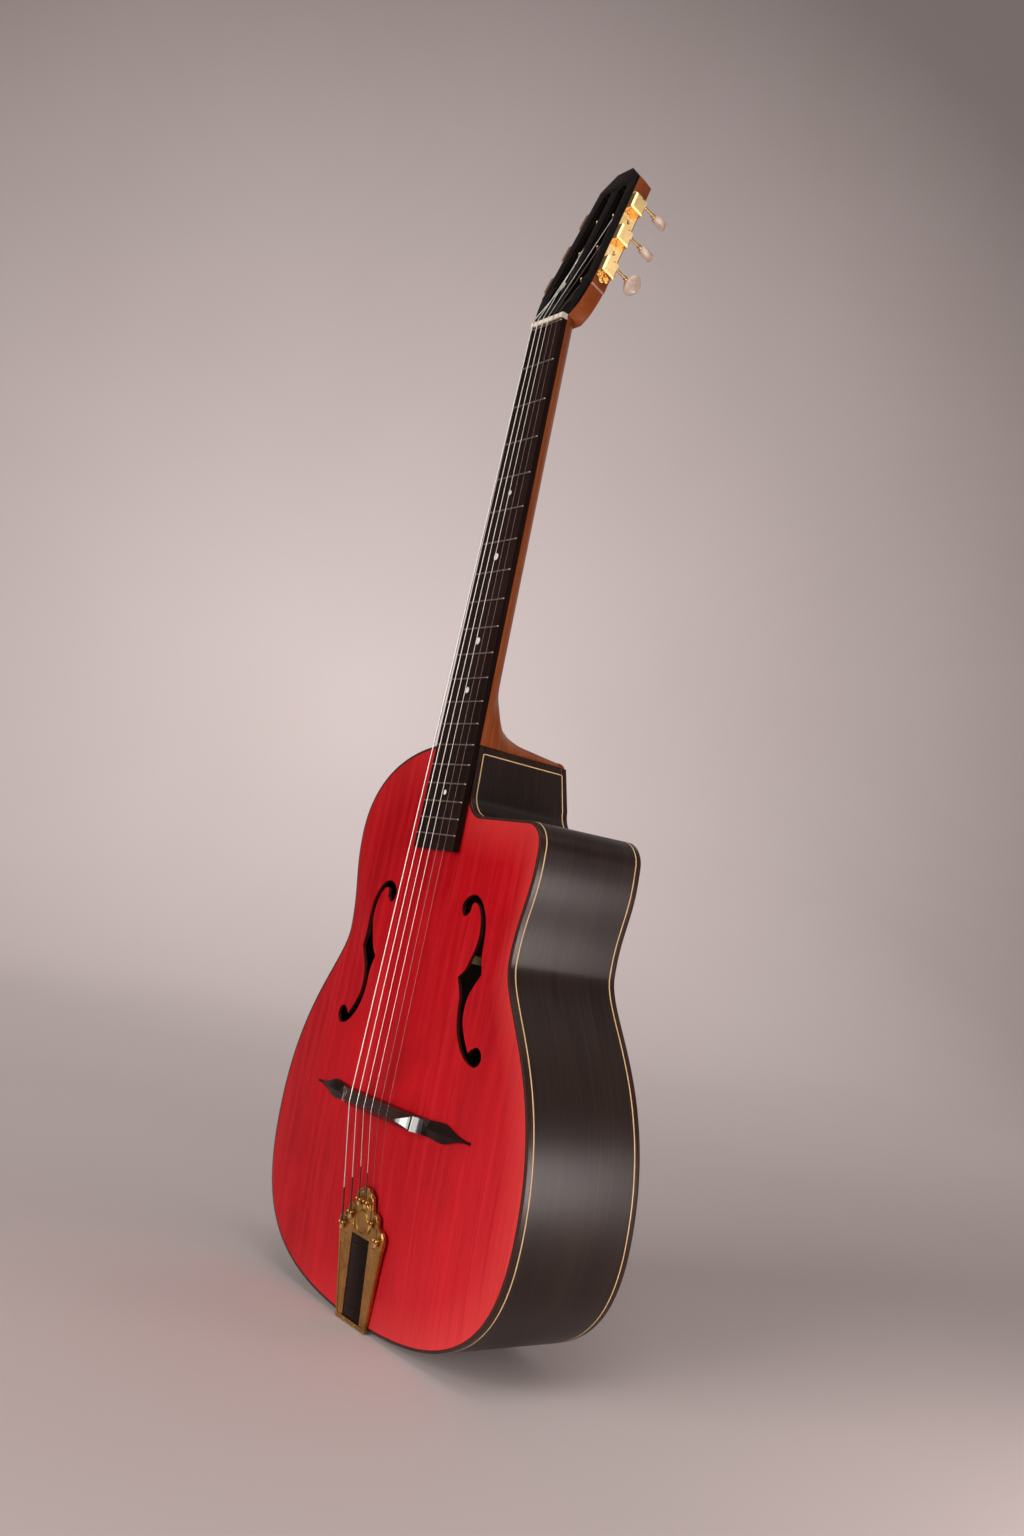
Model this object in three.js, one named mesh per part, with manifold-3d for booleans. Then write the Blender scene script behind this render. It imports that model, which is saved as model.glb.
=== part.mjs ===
// Gypsy jazz guitar: an arched-top, f-hole cutaway guitar with a floating bridge, a hinged
// brass tailpiece, a slotted headstock and six worm-geared tuning machines.
// Millimetres. +X is the treble side, +Y runs from the soundboard to the back, +Z runs up the
// neck. The origin is on the outer face of the tail bracket, on the centreline, in the plane
// of the soundboard's rim.
import * as THREE from "three";
import { mergeVertices } from "three/addons/utils/BufferGeometryUtils.js";
import Module from "manifold-3d";

const wasm = await Module();
wasm.setup();

// Clearances shared by every assembly
const SEAT_GAP = 0.3; // between two pieces that rest on or against each other
const OVERRUN = 2; // how far a cutter runs past the face that it opens
const WELD = 1e-4; // vertices closer than this are one vertex
const HOLE_SIDES = 8; // facets round small bores and the shafts in them
const DISC_SIDES = 12; // facets round larger discs
const POST_SIDES = 6; // facets round the smallest posts

// Scale, bridge and neck angle, which settle the body's length
const SCALE_LENGTH = 670;
const FRETS = 19;
const FRET_AT_BODY = 14;
const OCTAVE = 12;
const FRET_SETBACK = 1; // the body's fret lies this far below the body's edge
const NECK_TILT = THREE.MathUtils.degToRad(1.9);
const BRIDGE_Z = 166.7; // from the tail to the bridge's ridge
const fretFromNut = (n) => SCALE_LENGTH * (1 - 2 ** (-n / OCTAVE));
const nutZ = fretFromNut(FRET_AT_BODY);
const bodyFretZ = BRIDGE_Z + (SCALE_LENGTH - nutZ) * Math.cos(NECK_TILT);
const bodyLength = bodyFretZ + FRET_SETBACK;

// Body outline: half-widths from the centreline, and places as shares of the body's length
const LOWER_BOUT_HALF = 186.3;
const LOWER_BOUT_SHARE = 0.2721;
const WAIST_HALF = 121.8;
const WAIST_SHARE = 0.6466;
const UPPER_BOUT_HALF = 133;
const UPPER_BOUT_SHARE = 0.8174;
const HEEL_FLAT_HALF = 28; // half of the flat that the heel lands on
const HORN_RISE = 28.1; // from the upper bout's widest place to the floor of the cutaway
const HORN_RADIUS = 20;
const CUTAWAY_RADIUS = 20;
const WALL_BACK_SHIFT = 11; // the cutaway wall's top leans in by this much at the back
const ARCH_CENTRE_SHARE = 0.4077;
const TAIL_HANDLE_SHARE = 0.844; // curve handles, as shares of the span that each one shapes
const TAIL_RISE_SHARE = 0.585;
const FLANK_LOW_SHARE = 0.591;
const FLANK_HIGH_SHARE = 0.18;
const WAIST_HIGH_SHARE = 0.432;
const UPPER_LOW_SHARE = 0.416;
const SHOULDER_RISE_SHARE = 0.881;
const SHOULDER_RUN_SHARE = 0.064;
const LOWER_STEPS = 8; // straight facets in each stretch of the outline
const FLANK_STEPS = 6;
const WAIST_STEPS = 4;
const SHOULDER_STEPS = 5;
const CORNER_STEPS = 3;

// Body depth and plates
const TAIL_DEPTH = 111.7;
const NECK_DEPTH = 98.7;
const TOP_ARCH = 6.5;
const BACK_ARCH = 8;
const ARCH_POWER = 1.3; // above 1 the plate turns level again towards its edge
const PLATE_RING_SHARES = [1, 0.9, 0.7, 0.4];
const SOUNDBOARD_THICKNESS = 2.8;
const BACK_THICKNESS = 2.6;
const SIDE_THICKNESS = 2.4;
const BINDING_WIDTH = 2.3;
const BINDING_HEIGHT = 4.9;
const PURFLING_HEIGHT = 0.8;
const PURFLING_DEPTH = 1.6;
const FRAME_BAND_DROP = 6.5; // from the body's upper edge to the cream cross strip
const LINING_WIDTH = 5.8;
const LINING_HEIGHT = 13;
const NECK_BLOCK_HEIGHT = 52;
const NECK_BLOCK_HALF = 36;
const TAIL_BLOCK_HEIGHT = 24;
const TAIL_BLOCK_HALF = 42;

// Braces under the plates
const BRACE_SEAT = 0.45; // glue line under a brace, wider than the others across the facets
const BRACE_WIDTH = 7;
const BRACE_HEIGHT = 13;
const BRACE_END_SHARE = 0.35; // a brace's height at its scooped ends
const BRACE_STATIONS = 6;
const CROSS_BRACE_SHARES = [0.253, 0.421, 0.764]; // of the body's length, as the next ones
const TONE_BAR_SPREAD = 30; // half the distance between the two lengthwise bars
const TONE_BAR_SHARES = [0.15, 0.85];
const BACK_BRACE_SHARES = [0.193, 0.408, 0.622, 0.815];
const BACK_STRIP_WIDTH = 14;
const BACK_STRIP_HEIGHT = 3;
const BACK_STRIP_SHARES = [0.086, 0.858];
const BRACE_WALL_CLEARANCE = 12;

// F-holes: shares of the hole's width (outwards) and length (upwards)
const F_HOLE_WIDTH = 60;
const F_HOLE_LENGTH = 127;
const F_HOLE_INNER_X = 50;
const F_HOLE_BOTTOM_SHARE = 0.4721; // of the body's length
const F_HOLE_SHARES = [
  [0.24, 1], [0.39, 0.976], [0.52, 0.913], [0.6, 0.835], [0.628, 0.74], [0.633, 0.646],
  [0.683, 0.535], [0.583, 0.465], [0.5, 0.394], [0.467, 0.307], [0.492, 0.228],
  [0.592, 0.146], [0.717, 0.071], [0.755, 0.092], [0.875, 0.118], [0.975, 0.094],
  [1, 0.047], [0.917, 0.004], [0.783, 0.006], [0.633, 0.039], [0.483, 0.11],
  [0.392, 0.189], [0.342, 0.283], [0.325, 0.378], [0.267, 0.449], [0.225, 0.49],
  [0.342, 0.543], [0.433, 0.63], [0.5, 0.724], [0.495, 0.811], [0.433, 0.894],
  [0.325, 0.945], [0.233, 0.945], [0.205, 0.894], [0.1, 0.858], [0.017, 0.885],
  [0.003, 0.937], [0.1, 0.982],
];

// Fretboard, frets and nut
const BOARD_THICKNESS = 5;
const BOARD_RISE = 5.5; // board surface above the rim plane at the body's fret
const NUT_HALF = 21.9;
const BODY_FRET_HALF = 28.2;
const FRET_WIDTH = 2.2;
const FRET_HEIGHT = 1.1;
const FRET_SINK = 0.4; // how deep a fret's crown is let into the board
const FRET_INSET = 0.4;
const NUT_THICKNESS = 5;
const NUT_RISE = 2.4;
const NUT_SLOT_DEPTH = 0.8;
const NUT_SLOT_WIDTH = 1.8;

// Neck
const NECK_DEPTH_AT_NUT = 14.5; // wood behind the fretboard
const NECK_DEPTH_AT_HEEL = 16.5;
const NECK_FLANK_SHARE = 0.8; // below 1 squares the back of the neck
const NECK_SIDES = 10;
const NECK_STATIONS = 6;
const HEEL_TOP_Y = 6;
const HEEL_DEPTH_SHARES = [0, 0.12, 0.165, 0.21, 0.29, 0.43, 0.7, 1];
const HEEL_RISE = 62;
const HEEL_RISE_SHARES = [1, 0.84, 0.6, 0.44, 0.31, 0.21, 0.14, 0.085];
const HEEL_HALF = 27;
const HEEL_HALF_SHARES = [1, 0.99, 0.97, 0.92, 0.85, 0.75, 0.63, 0.52];
const HEEL_CAP_THICKNESS = 2.2;
const ROD_WIDTH = 6;
const ROD_DEPTH = 9;
const ROD_LENGTH = 330;
const ROD_BODY_END = 12; // the rod starts this far up the neck from the body's fret

// Headstock, measured in its own plane from the upper face of the nut
const HEAD_TILT = THREE.MathUtils.degToRad(15);
const HEAD_STEP = 3; // the head's face lies this far behind the fretboard's surface
const HEAD_LENGTH = 168;
const HEAD_THICKNESS = 15;
const VENEER_THICKNESS = 2;
const HEAD_WIDE_HALF = 35;
const HEAD_WIDE_HEIGHT = 28;
const HEAD_TOP_HALF = 26.5;
const HEAD_TOP_HEIGHT = 152;
const HEAD_PEAK_HALF = 10;
const HEAD_FLARE_HALF = 33;
const HEAD_FLARE_HEIGHT = 9;
const HEAD_FLARE_STEPS = 5;
const SLOT_LOW_HEIGHT = 40;
const SLOT_HIGH_HEIGHT = 146;
const SLOT_RIB_HALF = 5.5;
const SLOT_OUTER_WALL = 10.5;
const SLOT_CORNER = 4;
const RAMP_LOW_HEIGHT = 16;
const RAMP_HIGH_HEIGHT = 52;
const RAMP_DEPTH = 8;

// Tuning machines, in the frame of the headstock's side face
const TUNERS_PER_SIDE = 3;
const TUNER_FIRST_HEIGHT = 49;
const TUNER_PITCH = 36;
const PLATE_THICKNESS = 1.4;
const PLATE_WIDTH = 14;
const PLATE_CENTRE_Y = 8.5;
const POST_SETBACK = 0.6; // the posts lie this far in front of the plate's middle
const PLATE_LOW_LENGTH = 13; // from the first tuner's post down to the plate's end
const PLATE_HIGH_LENGTH = 17; // from the last tuner's post up to the plate's end
const PLATE_LOBE_RADIUS = 5;
const COVER_WALL = 0.7;
const COVER_RUNNING = 0.5; // clearance round the wheel and worm in their cover
const GEAR_TEETH = 14;
const GEAR_PITCH_ARC = 2.1; // tooth spacing along the pitch circle, and the worm's lead
const GEAR_ADDENDUM = 0.55;
const GEAR_DEDENDUM = 0.85;
const GEAR_WIDTH = 2.4;
const GEAR_STAND = 1.2; // how far the wheel and worm stand off the plate, beyond their clearance
const GEAR_TOOTH_SHARE = 0.36; // of the tooth spacing, at the pitch circle
const GEAR_TIP_SHARE = 0.22;
const GEAR_ROOT_SHARE = 0.5;
const WORM_PITCH_RADIUS = 1.7;
const WORM_CORE_RADIUS = 1.05;
const WORM_CREST_RADIUS = 2.2;
const WORM_CREST_SHARE = 0.2; // of the lead
const WORM_ROOT_SHARE = 0.42;
const WORM_TURNS = 3;
const WORM_STEPS = 8; // facets in each turn of the thread
const WORM_SHAFT_RADIUS = 1.2;
const POST_RADIUS = 3;
const BARREL_RADIUS = 2.6;
const POST_RUNNING = 0.35; // clearance of the post in the wood and in the plate
const POST_TIP = 3.4; // how deep the post's far end stands in the rib
const SHAFT_RUNNING = 0.3;
const SHAFT_REACH = 12.5; // worm shaft showing behind its cover
const COLLAR_RADIUS = 2.1;
const COLLAR_LENGTH = 2.4;
const SHAFT_TANG = 4; // the shaft's end inside the button
const BUTTON_LENGTH = 14.5;
const BUTTON_WIDTH = 19;
const BUTTON_THICKNESS = 8;
const BUTTON_SIDES = 10;
const BUTTON_SHARES = [ // of the length, width and thickness, from the shaft outwards
  [0, 0.34, 0.72], [0.07, 0.46, 0.8], [0.24, 0.84, 0.92],
  [0.52, 1, 1], [0.84, 0.8, 0.98], [1, 0.42, 0.78],
];
const TREBLE_BUTTON_TURNS = [120, 40, 34]; // degrees that each button stands turned, lowest first
const BASS_BUTTON_TURNS = [64, 20, 84];

// Strings, treble to bass
const STRINGS = 6;
const STRING_RADII = [0.14, 0.19, 0.29, 0.38, 0.49, 0.58];
const STRING_SIDES = 5;
const NUT_SPREAD = 18.2; // half the distance between the outer strings
const BRIDGE_SPREAD = 28.7;
const WIND_TURNS = 2;
const WIND_STEPS = 12;
const WIND_GAP = 0.55; // air between neighbouring turns
const WIND_OFFSETS = [9.5, 6.5, 5.5]; // first turn's distance from the rib, lowest post first
const BALL_RADIUS = 1.7;
const BALL_LENGTH = 3.2;

// Bridge and its two wings
const BRIDGE_HEIGHT = 16.3;
const BRIDGE_HALF = 62;
const BRIDGE_RIDGE_HALF = 41; // the ridge ends here and slopes down as a hip
const BRIDGE_HIP_HALF = 52; // the hip ends here in a flat top
const BRIDGE_EAVE_HEIGHT = 8.5;
const BRIDGE_END_HEIGHT = 5.5;
const BRIDGE_CHAMFER = 0.8;
const BRIDGE_FOOT_DEPTH = 12;
const BRIDGE_TOP_DEPTH = 2;
const WING_TIP_X = 118;
const WING_WIDE_SHARE = 0.38; // along the wing from the seam to its tip
const WING_NECK_SHARE = 0.72;
const WING_WIDE_DEPTH = 15;
const WING_NECK_DEPTH = 4.4;
const WING_TIP_DEPTH = 1.2;
const WING_HEIGHT = 5;
const WING_TIP_HEIGHT = 2.2;

// Tailpiece, in its own plane from the hinge pin upwards
const BRACKET_THICKNESS = 2;
const BRACKET_HALF = 17;
const BRACKET_LENGTH = 36;
const BRACKET_BARREL_HALF = 8;
const SCREW_SPREAD = 10; // half the distance between the two front screws
const SCREW_FRONT_DEPTH = 13;
const SCREW_REAR_DEPTH = 28;
const SCREW_HEAD_RADIUS = 3;
const SCREW_RADIUS = 1.5;
const SCREW_LENGTH = 17;
const SCREW_CLEARANCE = 0.3;
const PIN_RADIUS = 0.8;
const PIN_RUNNING = 0.3;
const BARREL_WALL = 0.6;
const BARREL_PIN_Y = -2.1;
const BARREL_PIN_Z = -0.6;
const TAIL_TILT = THREE.MathUtils.degToRad(4.1);
const TAIL_FRONT = -1.2; // front and back of the brass, measured from the pin
const TAIL_BACK = 1.8;
const TAIL_FOOT_HALF = 23;
const TAIL_SHOULDER_HALF = 33;
const TAIL_SHOULDER_Z = 66;
const HOOK_X = [27, 16, 5.3];
const HOOK_Z = [72, 83, 96];
const LOBE_RADIUS = 7.6;
const CREST_RADIUS = 6;
const CREST_Z = 101;
const INSERT_HALF = 13.4;
const INSERT_LOW = 7;
const INSERT_HIGH = 67;
const INSERT_THICKNESS = 1.7;
const RECESS_DEPTH = 2.2;
const MEDALLION_HALF_WIDTH = 8;
const MEDALLION_HALF_HEIGHT = 9;
const MEDALLION_RISE = 0.8;
const MEDALLION_Z = 79;
const HOOK_SPREAD = 2.4; // half the distance between a hook's two posts
const HOOK_POST_RADIUS = 0.9;
const HOOK_HEAD_RADIUS = 1.5;
const HOOK_POST_HEIGHT = 2.4;

// Colours
const RED = 0xa8121c;
const DARK_SIDE = 0x2a211f;
const DARK_BINDING = 0x2b1712;
const CREAM = 0xd9c49a;
const SPRUCE = 0xcaa671;
const MAHOGANY = 0x7c3a22;
const EBONY = 0x17120f;
const BONE = 0xece4d2;
const BRASS = 0xb08a45;
const GOLD = 0xd2a23c;
const IVORY = 0xe6dccb;
const STEEL = 0xb9b6b0;

const SCREW_PLACES = [
  [-SCREW_SPREAD, SCREW_FRONT_DEPTH],
  [SCREW_SPREAD, SCREW_FRONT_DEPTH],
  [0, SCREW_REAR_DEPTH],
];

// Geometry helpers
const at = (x, y, z) => new THREE.Vector3(x, y, z);
const flat = (x, z) => new THREE.Vector2(x, z);
const mix = THREE.MathUtils.lerp;
const FULL_TURN = 2 * Math.PI;

// A closed surface from points and triangles, turned inside out if its volume is negative.
function closedSurface(points, triangles) {
  const spot = new THREE.Vector3();
  let volume = 0;
  for (const [a, b, c] of triangles) {
    volume += spot.crossVectors(points[a], points[b]).dot(points[c]);
  }
  const turned = volume < 0 ? triangles.map(([a, b, c]) => [a, c, b]) : triangles;
  const geometry = new THREE.BufferGeometry().setFromPoints(points);
  geometry.setIndex(turned.flat());
  return geometry;
}

// A solid through rings of equal length, closed at both ends from each end ring's middle.
function loft(rings) {
  const count = rings[0].length;
  const points = rings.flat();
  const triangles = [];
  for (let r = 0; r + 1 < rings.length; r++) {
    for (let i = 0; i < count; i++) {
      const next = (i + 1) % count;
      const [a, b] = [r * count + i, r * count + next];
      triangles.push([a, b, b + count], [a, b + count, a + count]);
    }
  }
  for (const [ring, start] of [[rings[0], 0], [rings.at(-1), (rings.length - 1) * count]]) {
    const middle = ring.reduce((sum, p) => sum.add(p), at(0, 0, 0)).divideScalar(count);
    const hub = points.push(middle) - 1;
    for (let i = 0; i < count; i++) {
      const pair = [start + ((i + 1) % count), start + i];
      triangles.push(start ? [hub, pair[1], pair[0]] : [hub, ...pair]);
    }
  }
  return closedSurface(points, triangles);
}

// A plate between two loops of (x, z) points, with holes, whose two faces follow heights.
function slab({ front, back = front, holes = [], backHoles = holes, frontAt, backAt }) {
  const loops = [front, ...holes];
  const backLoops = [back, ...backHoles];
  const faces = THREE.ShapeUtils.triangulateShape(front, holes);
  const layer = (set, heightAt) =>
    set.flat().map((p) => at(p.x, heightAt(p.x, p.y), p.y));
  const points = [...layer(loops, frontAt), ...layer(backLoops, backAt)];
  const count = points.length / 2;
  const triangles = faces.flatMap(([a, b, c]) => [[a, b, c], [a + count, c + count, b + count]]);
  let start = 0;
  for (const loop of loops) {
    for (let i = 0; i < loop.length; i++) {
      const [a, b] = [start + i, start + ((i + 1) % loop.length)];
      triangles.push([a, b + count, b], [a, a + count, b + count]);
    }
    start += loop.length;
  }
  return closedSurface(points, triangles);
}

function solidOf(geometry) {
  const bare = geometry.index ? geometry.toNonIndexed() : geometry.clone();
  for (const name of Object.keys(bare.attributes)) {
    if (name !== "position") bare.deleteAttribute(name);
  }
  const welded = mergeVertices(bare, WELD);
  return new wasm.Manifold(
    new wasm.Mesh({
      numProp: 3,
      vertProperties: welded.attributes.position.array,
      triVerts: new Uint32Array(welded.index.array),
    }),
  );
}

function geometryOf(solid) {
  const mesh = solid.getMesh();
  const geometry = new THREE.BufferGeometry();
  geometry.setAttribute("position", new THREE.BufferAttribute(mesh.vertProperties, 3));
  geometry.setIndex(new THREE.BufferAttribute(mesh.triVerts, 1));
  return geometry;
}

const join = (...parts) => geometryOf(parts.map(solidOf).reduce((sum, part) => sum.add(part)));

const cut = (body, ...tools) =>
  geometryOf(tools.map(solidOf).reduce((rest, tool) => rest.subtract(tool), solidOf(body)));

const common = (a, b) => geometryOf(solidOf(a).intersect(solidOf(b)));

// A box between two opposite corners.
function boxBetween(low, high) {
  const size = high.clone().sub(low);
  const middle = low.clone().add(high).divideScalar(2);
  return new THREE.BoxGeometry(size.x, size.y, size.z).translate(middle.x, middle.y, middle.z);
}

// A round bar along X, Y or Z between two places on that axis.
function barAlong(axis, radius, low, high, sides) {
  const bar = new THREE.CylinderGeometry(radius, radius, high - low, sides);
  bar.translate(0, (low + high) / 2, 0);
  if (axis === "x") bar.rotateZ(-Math.PI / 2);
  if (axis === "z") bar.rotateX(Math.PI / 2);
  return bar;
}

// A shape drawn in (x, z) and given its thickness along +Y from a front height.
function plateOf(shape, front, thickness, curveSegments) {
  const plate = new THREE.ExtrudeGeometry(shape, {
    depth: thickness,
    bevelEnabled: false,
    curveSegments,
  });
  return plate.rotateX(Math.PI / 2).translate(0, front + thickness, 0);
}

// A geometry carried into another frame, its faces turned round if the frame is mirrored.
function carried(geometry, matrix) {
  const moved = geometry.applyMatrix4(matrix);
  if (matrix.determinant() > 0) return moved;
  const index = Array.from(moved.index.array);
  for (let i = 0; i < index.length; i += 3) {
    [index[i], index[i + 1]] = [index[i + 1], index[i]];
  }
  moved.setIndex(index);
  return moved;
}

// A tube of varying radius along points, with frames carried from one point to the next.
function tubeAlong(points, radii, sides) {
  const last = points.length - 1;
  const side = at(1, 0, 0);
  const rings = points.map((point, i) => {
    const ahead = points[Math.min(i + 1, last)].clone().sub(points[Math.min(i, last - 1)]);
    const behind = points[Math.max(i, 1)].clone().sub(points[Math.max(i - 1, 0)]);
    const along = ahead.normalize().add(behind.normalize()).normalize();
    side.addScaledVector(along, -side.dot(along)).normalize();
    const other = along.clone().cross(side);
    return Array.from({ length: sides }, (_, k) => {
      const angle = (k / sides) * FULL_TURN;
      return point
        .clone()
        .addScaledVector(side, radii[i] * Math.cos(angle))
        .addScaledVector(other, radii[i] * Math.sin(angle));
    });
  });
  return loft(rings);
}

// Scene graph: the guitar stands on the tail bracket's outer face
const root = new THREE.Group();
const guitar = new THREE.Group();
guitar.position.z = BRACKET_THICKNESS + SEAT_GAP;
root.add(guitar);

function place(name, geometry, [color, roughness, metalness], parent = guitar) {
  const material = new THREE.MeshStandardMaterial({ color, roughness, metalness });
  geometry.computeVertexNormals();
  const mesh = new THREE.Mesh(geometry, material);
  mesh.name = name;
  parent.add(mesh);
  return mesh;
}

const lowerBoutZ = bodyLength * LOWER_BOUT_SHARE;
const waistZ = bodyLength * WAIST_SHARE;
const upperBoutZ = bodyLength * UPPER_BOUT_SHARE;
const hornTipZ = upperBoutZ + HORN_RISE;
const archCentreZ = bodyLength * ARCH_CENTRE_SHARE;

// Body outline: a counter-clockwise loop seen from the front, treble side first.
function bodyOutline(wallShift) {
  const curve = (a, b, c, d, steps) => new THREE.CubicBezierCurve(a, b, c, d).getPoints(steps);
  const flank = waistZ - lowerBoutZ;
  const rise = upperBoutZ - waistZ;
  const shoulder = bodyLength - upperBoutZ;
  const shoulderRun = (UPPER_BOUT_HALF - HEEL_FLAT_HALF) * SHOULDER_RUN_SHARE;
  const lower = curve(
    flat(0, 0),
    flat(LOWER_BOUT_HALF * TAIL_HANDLE_SHARE, 0),
    flat(LOWER_BOUT_HALF, lowerBoutZ * (1 - TAIL_RISE_SHARE)),
    flat(LOWER_BOUT_HALF, lowerBoutZ),
    LOWER_STEPS,
  );
  const middle = curve(
    flat(LOWER_BOUT_HALF, lowerBoutZ),
    flat(LOWER_BOUT_HALF, lowerBoutZ + flank * FLANK_LOW_SHARE),
    flat(WAIST_HALF, waistZ - flank * FLANK_HIGH_SHARE),
    flat(WAIST_HALF, waistZ),
    FLANK_STEPS,
  );
  const upper = curve(
    flat(WAIST_HALF, waistZ),
    flat(WAIST_HALF, waistZ + rise * WAIST_HIGH_SHARE),
    flat(UPPER_BOUT_HALF, upperBoutZ - rise * UPPER_LOW_SHARE),
    flat(UPPER_BOUT_HALF, upperBoutZ),
    WAIST_STEPS,
  );
  const shoulderCurve = curve(
    flat(UPPER_BOUT_HALF, upperBoutZ),
    flat(UPPER_BOUT_HALF, upperBoutZ + shoulder * SHOULDER_RISE_SHARE),
    flat(HEEL_FLAT_HALF + shoulderRun, bodyLength),
    flat(HEEL_FLAT_HALF, bodyLength),
    SHOULDER_STEPS,
  );
  const corner = (centre, radius, from, to) =>
    Array.from({ length: CORNER_STEPS + 1 }, (_, i) => {
      const angle = mix(from, to, i / CORNER_STEPS);
      return flat(centre.x + radius * Math.cos(angle), centre.y + radius * Math.sin(angle));
    });
  const hornCentre = flat(UPPER_BOUT_HALF - HORN_RADIUS, hornTipZ - HORN_RADIUS);
  const bayCentre = flat(HEEL_FLAT_HALF + CUTAWAY_RADIUS, hornTipZ + CUTAWAY_RADIUS);
  const shared = [...lower, ...middle.slice(1), ...upper.slice(1)];
  const treble = [
    ...shared,
    ...corner(hornCentre, HORN_RADIUS, 0, Math.PI / 2),
    ...corner(bayCentre, CUTAWAY_RADIUS, 1.5 * Math.PI, Math.PI),
    flat(HEEL_FLAT_HALF - wallShift, bodyLength),
  ];
  const bass = [...shared, ...shoulderCurve.slice(1)].slice(1);
  return [...treble, ...bass.reverse().map((p) => flat(-p.x, p.y))];
}

// The outline at a depth: the cutaway wall leans, the rest stands square to the rim plane.
const outlineAt = (y) => bodyOutline((WALL_BACK_SHIFT * y) / NECK_DEPTH);
const frontOutline = outlineAt(0);
const backOutline = outlineAt(NECK_DEPTH);

function distanceToLoop(point, loop) {
  const segment = new THREE.Line3();
  const spot = at(point.x, point.y, 0);
  const foot = new THREE.Vector3();
  return Math.min(
    ...loop.map((p, i) => {
      const q = loop[(i + 1) % loop.length];
      segment.set(at(p.x, p.y, 0), at(q.x, q.y, 0));
      return segment.closestPointToPoint(spot, true, foot).distanceTo(spot);
    }),
  );
}

// The loop moved inwards, without the points that would come too near another stretch.
const KEPT_SHARE = 0.97;
function inset(loop, distance) {
  const moved = loop.map((p, i) => {
    const before = loop.at(i - 1);
    const after = loop[(i + 1) % loop.length];
    const first = p.clone().sub(before).normalize();
    const second = after.clone().sub(p).normalize();
    const normal = flat(-first.y - second.y, first.x + second.x);
    const reach = distance / (1 + first.dot(second));
    return p.clone().addScaledVector(normal, reach);
  });
  return moved.filter((p) => distanceToLoop(p, loop) >= distance * KEPT_SHARE);
}

const reversed = (loop) => [...loop].reverse();
const depthAt = (x, z) => mix(TAIL_DEPTH, NECK_DEPTH, z / bodyLength);

// How far out a point lies, from 0 at the arch's centre to 1 at the outline.
function outlineShare(x, z, loop) {
  const ray = flat(x, z - archCentreZ);
  if (ray.length() < WELD) return 0;
  let reach = Infinity;
  loop.forEach((p, i) => {
    const q = loop[(i + 1) % loop.length];
    const a = flat(p.x, p.y - archCentreZ);
    const b = flat(q.x, q.y - archCentreZ);
    const edge = b.clone().sub(a);
    const cross = ray.x * edge.y - ray.y * edge.x;
    if (Math.abs(cross) < WELD) return;
    const t = (a.x * edge.y - a.y * edge.x) / cross;
    const s = (a.x * ray.y - a.y * ray.x) / cross;
    if (t > 0 && s >= -WELD && s <= 1 + WELD) reach = Math.min(reach, t);
  });
  return Math.min(1, 1 / reach);
}

// The arch follows the plate's own facets, so that what rests on it meets them.
function archAt(x, z, rise, loop) {
  const share = outlineShare(x, z, loop);
  const levels = [...PLATE_RING_SHARES, 0];
  const inner = levels.findIndex((level) => level <= share);
  const [high, low] = [levels[Math.max(inner - 1, 0)], levels[inner]];
  const heightOf = (level) => rise * (1 - level ** 2) ** ARCH_POWER;
  const along = high > low ? (share - low) / (high - low) : 0;
  return mix(heightOf(low), heightOf(high), along);
}
const topAt = (x, z) => -archAt(x, z, TOP_ARCH, frontOutline);
const topInsideAt = (x, z) => topAt(x, z) + SOUNDBOARD_THICKNESS;
const backAt = (x, z) => depthAt(x, z) + archAt(x, z, BACK_ARCH, backOutline);
const backInsideAt = (x, z) => backAt(x, z) - BACK_THICKNESS;

// An arched plate: rings that shrink from its edge to the arch's centre.
function archedPlate(loop, frontHeight, backHeight) {
  const ringAt = (share) =>
    loop.map((p) => flat(p.x * share, archCentreZ + (p.y - archCentreZ) * share));
  const rings = PLATE_RING_SHARES.map(ringAt);
  const layer = [...rings.flat(), flat(0, archCentreZ)];
  const points = [
    ...layer.map((p) => at(p.x, frontHeight(p.x, p.y), p.y)),
    ...layer.map((p) => at(p.x, backHeight(p.x, p.y), p.y)),
  ];
  const [count, size, hub] = [loop.length, layer.length, layer.length - 1];
  const triangles = [];
  for (let i = 0; i < count; i++) {
    const next = (i + 1) % count;
    for (let r = 0; r + 1 < rings.length; r++) {
      const [a, b] = [r * count + i, r * count + next];
      const [c, d] = [a + count, b + count];
      triangles.push([a, b, d], [a, d, c]);
      triangles.push([a + size, d + size, b + size], [a + size, c + size, d + size]);
    }
    const inner = (rings.length - 1) * count;
    triangles.push([inner + i, inner + next, hub]);
    triangles.push([inner + i + size, hub + size, inner + next + size]);
    triangles.push([i, next + size, next], [i, i + size, next + size]);
  }
  return closedSurface(points, triangles);
}

function fHole(side) {
  const bottom = bodyLength * F_HOLE_BOTTOM_SHARE;
  const loop = F_HOLE_SHARES.map(([across, up]) =>
    flat(side * (F_HOLE_INNER_X + across * F_HOLE_WIDTH), bottom + up * F_HOLE_LENGTH),
  );
  return slab({
    front: side > 0 ? reversed(loop) : loop,
    frontAt: () => -TOP_ARCH - OVERRUN,
    backAt: () => SOUNDBOARD_THICKNESS + OVERRUN,
  });
}

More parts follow.
